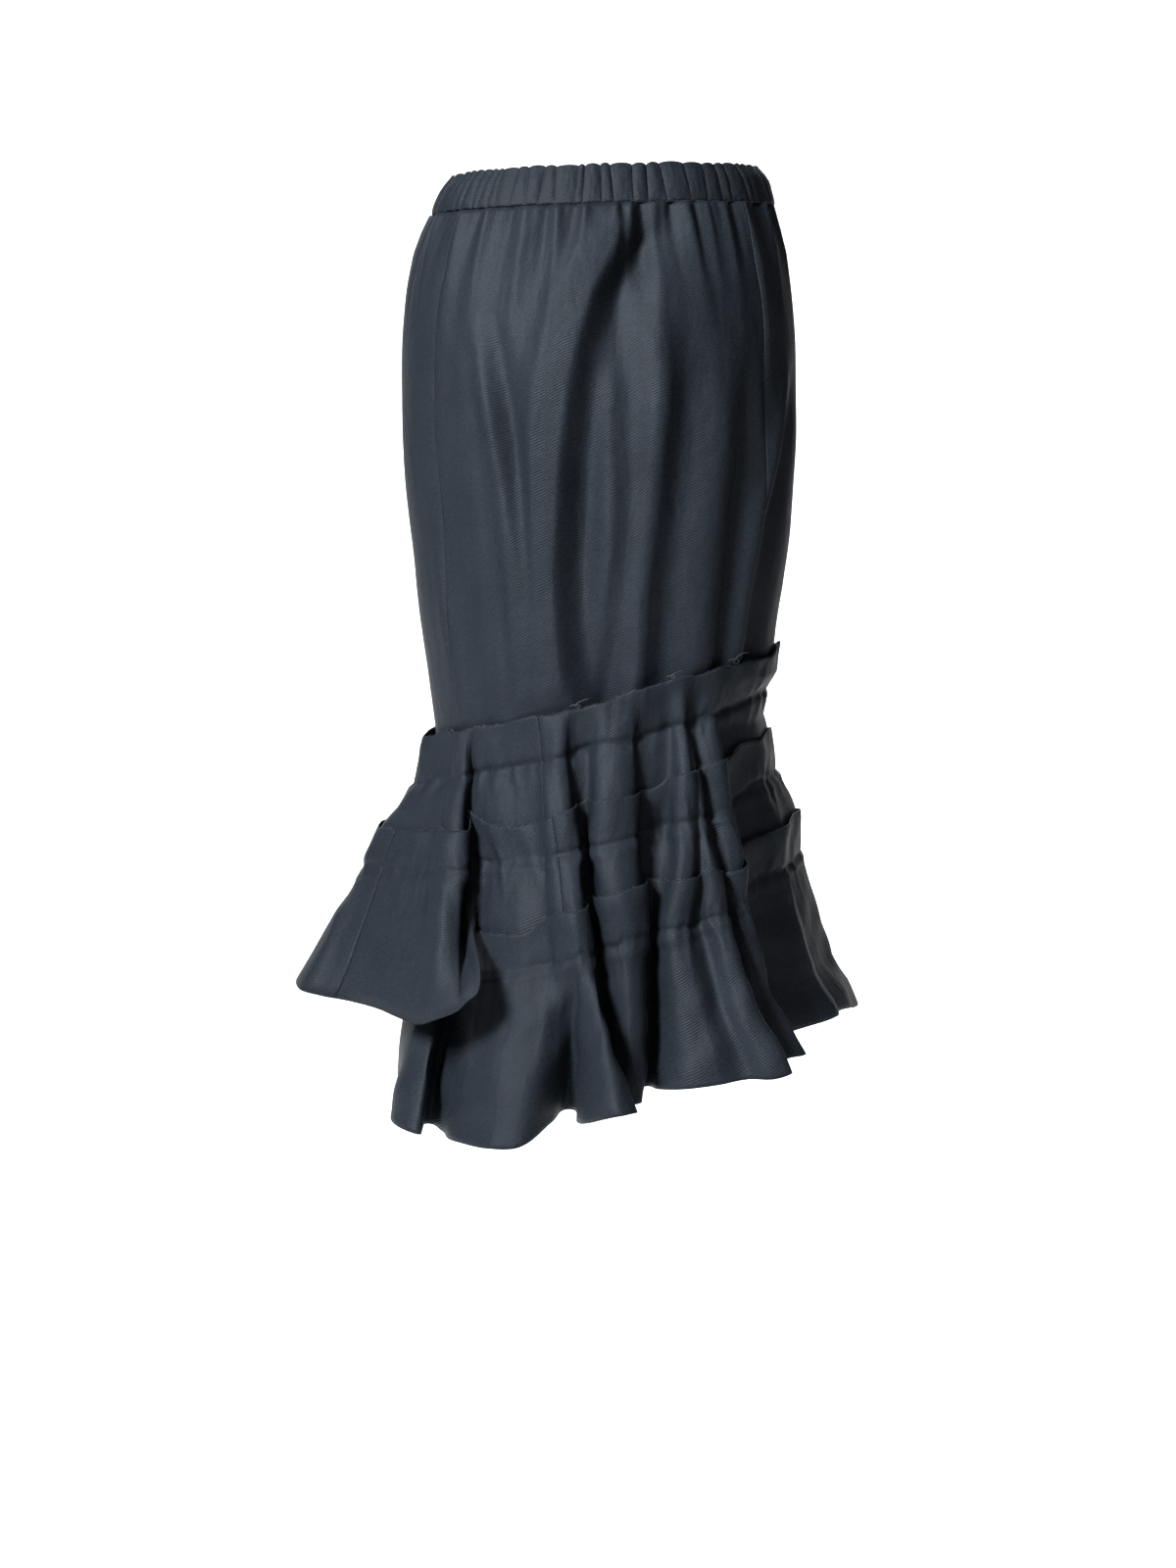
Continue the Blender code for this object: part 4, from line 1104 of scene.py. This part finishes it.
def new_material(name):
    """Material, its node tree and its shader."""
    material = bpy.data.materials.new(name)
    material.use_nodes = True
    tree = material.node_tree
    return material, tree, tree.nodes["Principled BSDF"]


def noise(tree, place, scale, detail, roughness=0.5):
    made = node(tree, "TexNoise", Vector=place, Scale=scale, Detail=detail, Roughness=roughness)
    return made.outputs["Fac"]


def wave(tree, place, **values):
    return node(tree, "TexWave", Vector=place, **values).outputs["Fac"]


def spread(tree, source, **ends):
    """Value of a source brought from one range to another."""
    return node(tree, "MapRange", Value=source, **ends).outputs["Result"]


def toned(tree, source, colour, dark, pale, low=0.0, high=1.0):
    """Colour from a darker to a paler tone of itself, as a source rises from low to high."""
    made = node(tree, "ValToRGB", Fac=source)
    for element, place, share in zip(made.color_ramp.elements, (low, high), (dark, pale)):
        element.position = place
        element.color = [part * share for part in colour] + [1.0]
    return made.outputs["Color"]


def bumps(tree, layers):
    """Relief of several layers: source, strength and depth of each, from coarse to fine."""
    normal = None
    for source, strength, depth in layers:
        made = node(tree, "Bump", Height=source, Strength=strength, Distance=depth)
        if normal is not None:
            tree.links.new(normal, made.inputs["Normal"])
        normal = made.outputs["Normal"]
    return normal


def cloth_material(name, colour, roughness):
    """Fine twill: diagonal wales, tiny slubs, soft crumples and uneven tone. Scales are per metre."""
    material, tree, shader = new_material(name)
    uv = node(tree, "UVMap", uv_map="cloth").outputs["UV"]
    tone = toned(tree, noise(tree, uv, 22.0, 4.0, 0.6), colour, 0.9, 1.1, 0.3, 0.75)
    fleck = spread(tree, noise(tree, uv, 480.0, 3.0, 0.75),
                   From_Min=0.25, From_Max=0.75, To_Min=0.72, To_Max=1.28)
    flecked = node(tree, "VectorMath", operation="SCALE", Vector=tone, Scale=fleck)
    turned = node(tree, "Mapping", Vector=uv, Rotation=(0.0, 0.0, math.radians(TWILL_TURN)))
    longer = node(tree, "Mapping", Vector=uv, Scale=(42.0, 15.0, 1.0))
    weave = bumps(tree, (
        (noise(tree, longer.outputs["Vector"], 1.0, 3.0), 0.55, 0.0045),
        (noise(tree, uv, 110.0, 3.0, 0.55), 0.6, 0.0006),
        (noise(tree, uv, 800.0, 3.0, 0.7), 0.7, 0.0003),
        (wave(tree, turned.outputs["Vector"], Scale=165.0, Distortion=1.2, Detail=2.0), 0.7, 0.00022),
    ))
    put(tree, shader, Base_Color=flecked.outputs["Vector"], Normal=weave, Roughness=roughness,
        Specular_IOR_Level=0.22)
    return material


def raw_edge_material(name, colour):
    """Cut edge of the cloth: paler frayed thread ends."""
    material, tree, shader = new_material(name)
    place = node(tree, "TexCoord").outputs["Object"]
    tone = toned(tree, noise(tree, place, 700.0, 4.0), colour, 0.7, 2.2)
    put(tree, shader, Base_Color=tone, Roughness=0.7)
    return material


def thread_material(name, colour):
    """Sewing thread: two plies twisted, with a slight gloss."""
    material, tree, shader = new_material(name)
    place = node(tree, "TexCoord").outputs["Object"]
    plies = bumps(tree, ((wave(tree, place, Scale=900.0, Distortion=0.5), 0.5, 0.0001),))
    put(tree, shader, Base_Color=(*colour, 1.0), Normal=plies, Roughness=0.5)
    return material


# ---- threads

def add_threads(name, starts, ends, outs, radius, material):
    """Many short threads as one mesh: four-sided, raised in the middle."""
    points = []
    faces = []
    for start, end, out in zip(starts, ends, outs):
        way = end - start
        side = np.cross(way, out)
        side = side / max(np.linalg.norm(side), 1e-9) * radius
        lift = out * radius
        base = len(points)
        for share, rise, thick in THREAD_RINGS:
            middle = start + way * share + lift * rise
            for turn in range(4):
                angle = math.pi / 2 * turn
                points.append(middle + (side * math.cos(angle) + lift * math.sin(angle)) * thick)
        for ring in range(base, base + 12, 4):
            for turn in range(4):
                after = (turn + 1) % 4
                faces.append((ring + turn, ring + after, ring + 4 + after, ring + 4 + turn))
        faces.append((base + 3, base + 2, base + 1, base))
        faces.append((base + 12, base + 13, base + 14, base + 15))
    ride(add_mesh(name, points, faces, [material]))


def ride(item):
    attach(item, "root")


def sew(name, sheet, row, material):
    """Running stitches along one row of a sheet."""
    line = sheet.grid[:, row]
    outs = surface_normals(sheet.grid, False)[:, row]
    run = np.concatenate([[0.0], np.cumsum(np.linalg.norm(np.diff(line, axis=0), axis=1))])
    places = np.arange(STITCH_PITCH, run[-1] - STITCH_PITCH, STITCH_PITCH)

    def at(values, place):
        return np.stack([np.interp(place, run, values[:, axis]) for axis in range(3)], axis=-1)

    normal = unit(at(outs, places))
    starts = at(line, places - STITCH_LENGTH / 2) + normal * STITCH_LIFT
    ends = at(line, places + STITCH_LENGTH / 2) + normal * STITCH_LIFT
    add_threads(name, starts, ends, normal, STITCH_RADIUS, material)


def fray(sheets, material):
    """Short thread ends that stand out of the raw upper edges."""
    chance = np.random.default_rng(17)
    for label, sheet in sheets.items():
        strip = sheet.grid
        normals = surface_normals(strip, False)
        starts = []
        ends = []
        outs = []
        for _ in range(int(sheet.run[-1] / FRAY_SPACING)):
            column = chance.integers(1, len(strip) - 1)
            base = strip[column, 0]
            up = unit(base - strip[column, 1])
            side = unit(strip[column + 1, 0] - strip[column - 1, 0])
            out = normals[column, 0]
            way = up * chance.uniform(0.1, 0.8) + side * chance.normal(0, 1.6)
            way = way + out * chance.normal(0.15, 0.35)
            way = unit(way) * chance.uniform(0.6, 2.4) * MM
            starts.append(base - up * 0.1 * MM)
            ends.append(base + way)
            outs.append(out)
        add_threads("fray_" + label, starts, ends, outs, FRAY_RADIUS, material)


def edge_near(sheets, turn):
    """Grid of the sheet whose raw edge passes nearest to a turn, and the column there."""
    choices = []
    for sheet in sheets:
        turns = np.degrees(np.arctan2(sheet.grid[:, 0, 0], -sheet.grid[:, 0, 1]))
        apart = np.abs(wrapped(turns - turn))
        near = int(np.argmin(apart))
        choices.append((apart[near], near, sheet.grid))
    _, near, grid = min(choices, key=lambda choice: choice[0])
    return grid, min(max(near, 1), len(grid) - 2)


def curls(sheets, material):
    """A few loose curls of thread on the first tier's raw edge."""
    for number, (turn, size) in enumerate(THREAD_CURLS):
        strip, near = edge_near(sheets, turn)
        base = strip[near, 0]
        out = surface_normals(strip, False)[near, 0]
        side = unit(strip[near + 1, 0] - strip[near - 1, 0])
        up = np.cross(side, out)
        if up[2] < 0:
            up = -up
        curve = bpy.data.curves.new("thread_curl_%d" % number, "CURVE")
        curve.dimensions = "3D"
        curve.bevel_depth = CURL_RADIUS
        curve.bevel_resolution = 2
        spline = curve.splines.new("POLY")
        spline.points.add(CURL_STEPS)
        for step, point in enumerate(spline.points):
            share = step / CURL_STEPS
            angle = 2.35 * math.pi * share - 0.5
            wide = size * MM * (0.16 + 0.30 * share)
            along = size * MM * (0.9 * share - 0.6) + wide * math.sin(angle)
            rise = 1.6 * MM + 0.16 * size * MM + wide * 0.55 * math.cos(angle)
            off = (1.0 + 0.8 * math.sin(1.3 * angle)) * MM
            point.co = (*(base + side * along + up * rise + out * off), 1.0)
        curve.materials.append(material)
        ride(add_object("thread_curl_%d" % number, curve))


# ---- setting

def add_world():
    world = bpy.data.worlds.new("studio")
    world.use_nodes = True
    tree = world.node_tree
    seen = node(tree, "LightPath").outputs["Is Camera Ray"]
    strength = spread(tree, seen, To_Min=WORLD_LIGHT, To_Max=WORLD_SEEN)
    put(tree, tree.nodes["Background"], Strength=strength, Color=(0.95, 0.98, 1.0, 1.0))
    bpy.context.scene.world = world
    bpy.context.scene.view_settings.view_transform = "Standard"
    bpy.context.scene.view_settings.look = "Medium High Contrast"


def add_sweep():
    """Paper floor that bends up behind the skirt and glows a little toward the back."""
    profile = [(y, FLOOR_LOW) for y in np.linspace(-1.0, FLOOR_BACK, 6)]
    for angle in np.linspace(0.1, math.pi / 2, 14):
        profile.append((FLOOR_BACK + SWEEP_ROUND * math.sin(angle),
                        FLOOR_LOW + SWEEP_ROUND - SWEEP_ROUND * math.cos(angle)))
    profile.append((FLOOR_BACK + SWEEP_ROUND, SWEEP_TOP))
    points = [(side, y, z) for y, z in profile for side in (-SWEEP_SIDE, SWEEP_SIDE)]
    faces = [(2 * i, 2 * i + 1, 2 * i + 3, 2 * i + 2) for i in range(len(profile) - 1)]
    paper, tree, shader = new_material("paper")
    parts = node(tree, "SeparateXYZ", Vector=node(tree, "TexCoord").outputs["Object"])
    glow = spread(tree, parts.outputs["Y"], From_Min=-0.6, From_Max=1.4, To_Min=0.0, To_Max=0.62)
    put(tree, shader, Base_Color=(0.85, 0.85, 0.85, 1.0), Roughness=0.9,
        Emission_Color=(1.0, 1.0, 1.0, 1.0), Emission_Strength=glow)
    add_mesh("floor", points, faces, [paper])


def add_lamps():
    for name, place, size, power, colour in LAMPS:
        lamp = bpy.data.lights.new(name, "AREA")
        lamp.size = size
        lamp.energy = power
        lamp.color = colour
        item = add_object(name, lamp)
        item.location = place
        way = unit(np.array(LAMP_TARGET) - np.array(place))
        item.rotation_euler = (math.acos(-way[2]), 0.0, math.pi + math.atan2(way[0], -way[1]))


def add_camera():
    lens = bpy.data.cameras.new("camera")
    lens.lens = LENS
    lens.sensor_width = SENSOR
    lens.clip_start = 0.05
    lens.clip_end = 50.0
    eye = add_object("camera", lens)
    eye.location = EYE
    eye.rotation_euler = (math.radians(90 - EYE_DOWN), 0.0, 0.0)
    bpy.context.scene.camera = eye


# ---- the object


cloth = cloth_material("skirt_twill", CLOTH_COLOUR, 0.55)
band = cloth_material("band_twill", BAND_COLOUR, 0.57)
edge = raw_edge_material("raw_edge", CLOTH_COLOUR)
thread = thread_material("dark_thread", THREAD_COLOUR)
loose = thread_material("loose_thread", LOOSE_COLOUR)

tiers = dress_tiers([cloth, edge])
panels = dress_body([cloth, edge])
waistband = dress_band([band, edge])
for label, sheet in tiers.items():
    sew("stitches_" + label, sheet, seam_row(label.rpartition("_")[0]), thread)
fray(tiers, loose)
curls([tiers["flounce_1_left"], tiers["flounce_1_right"]], loose)

add_world()
add_sweep()
add_lamps()
add_camera()
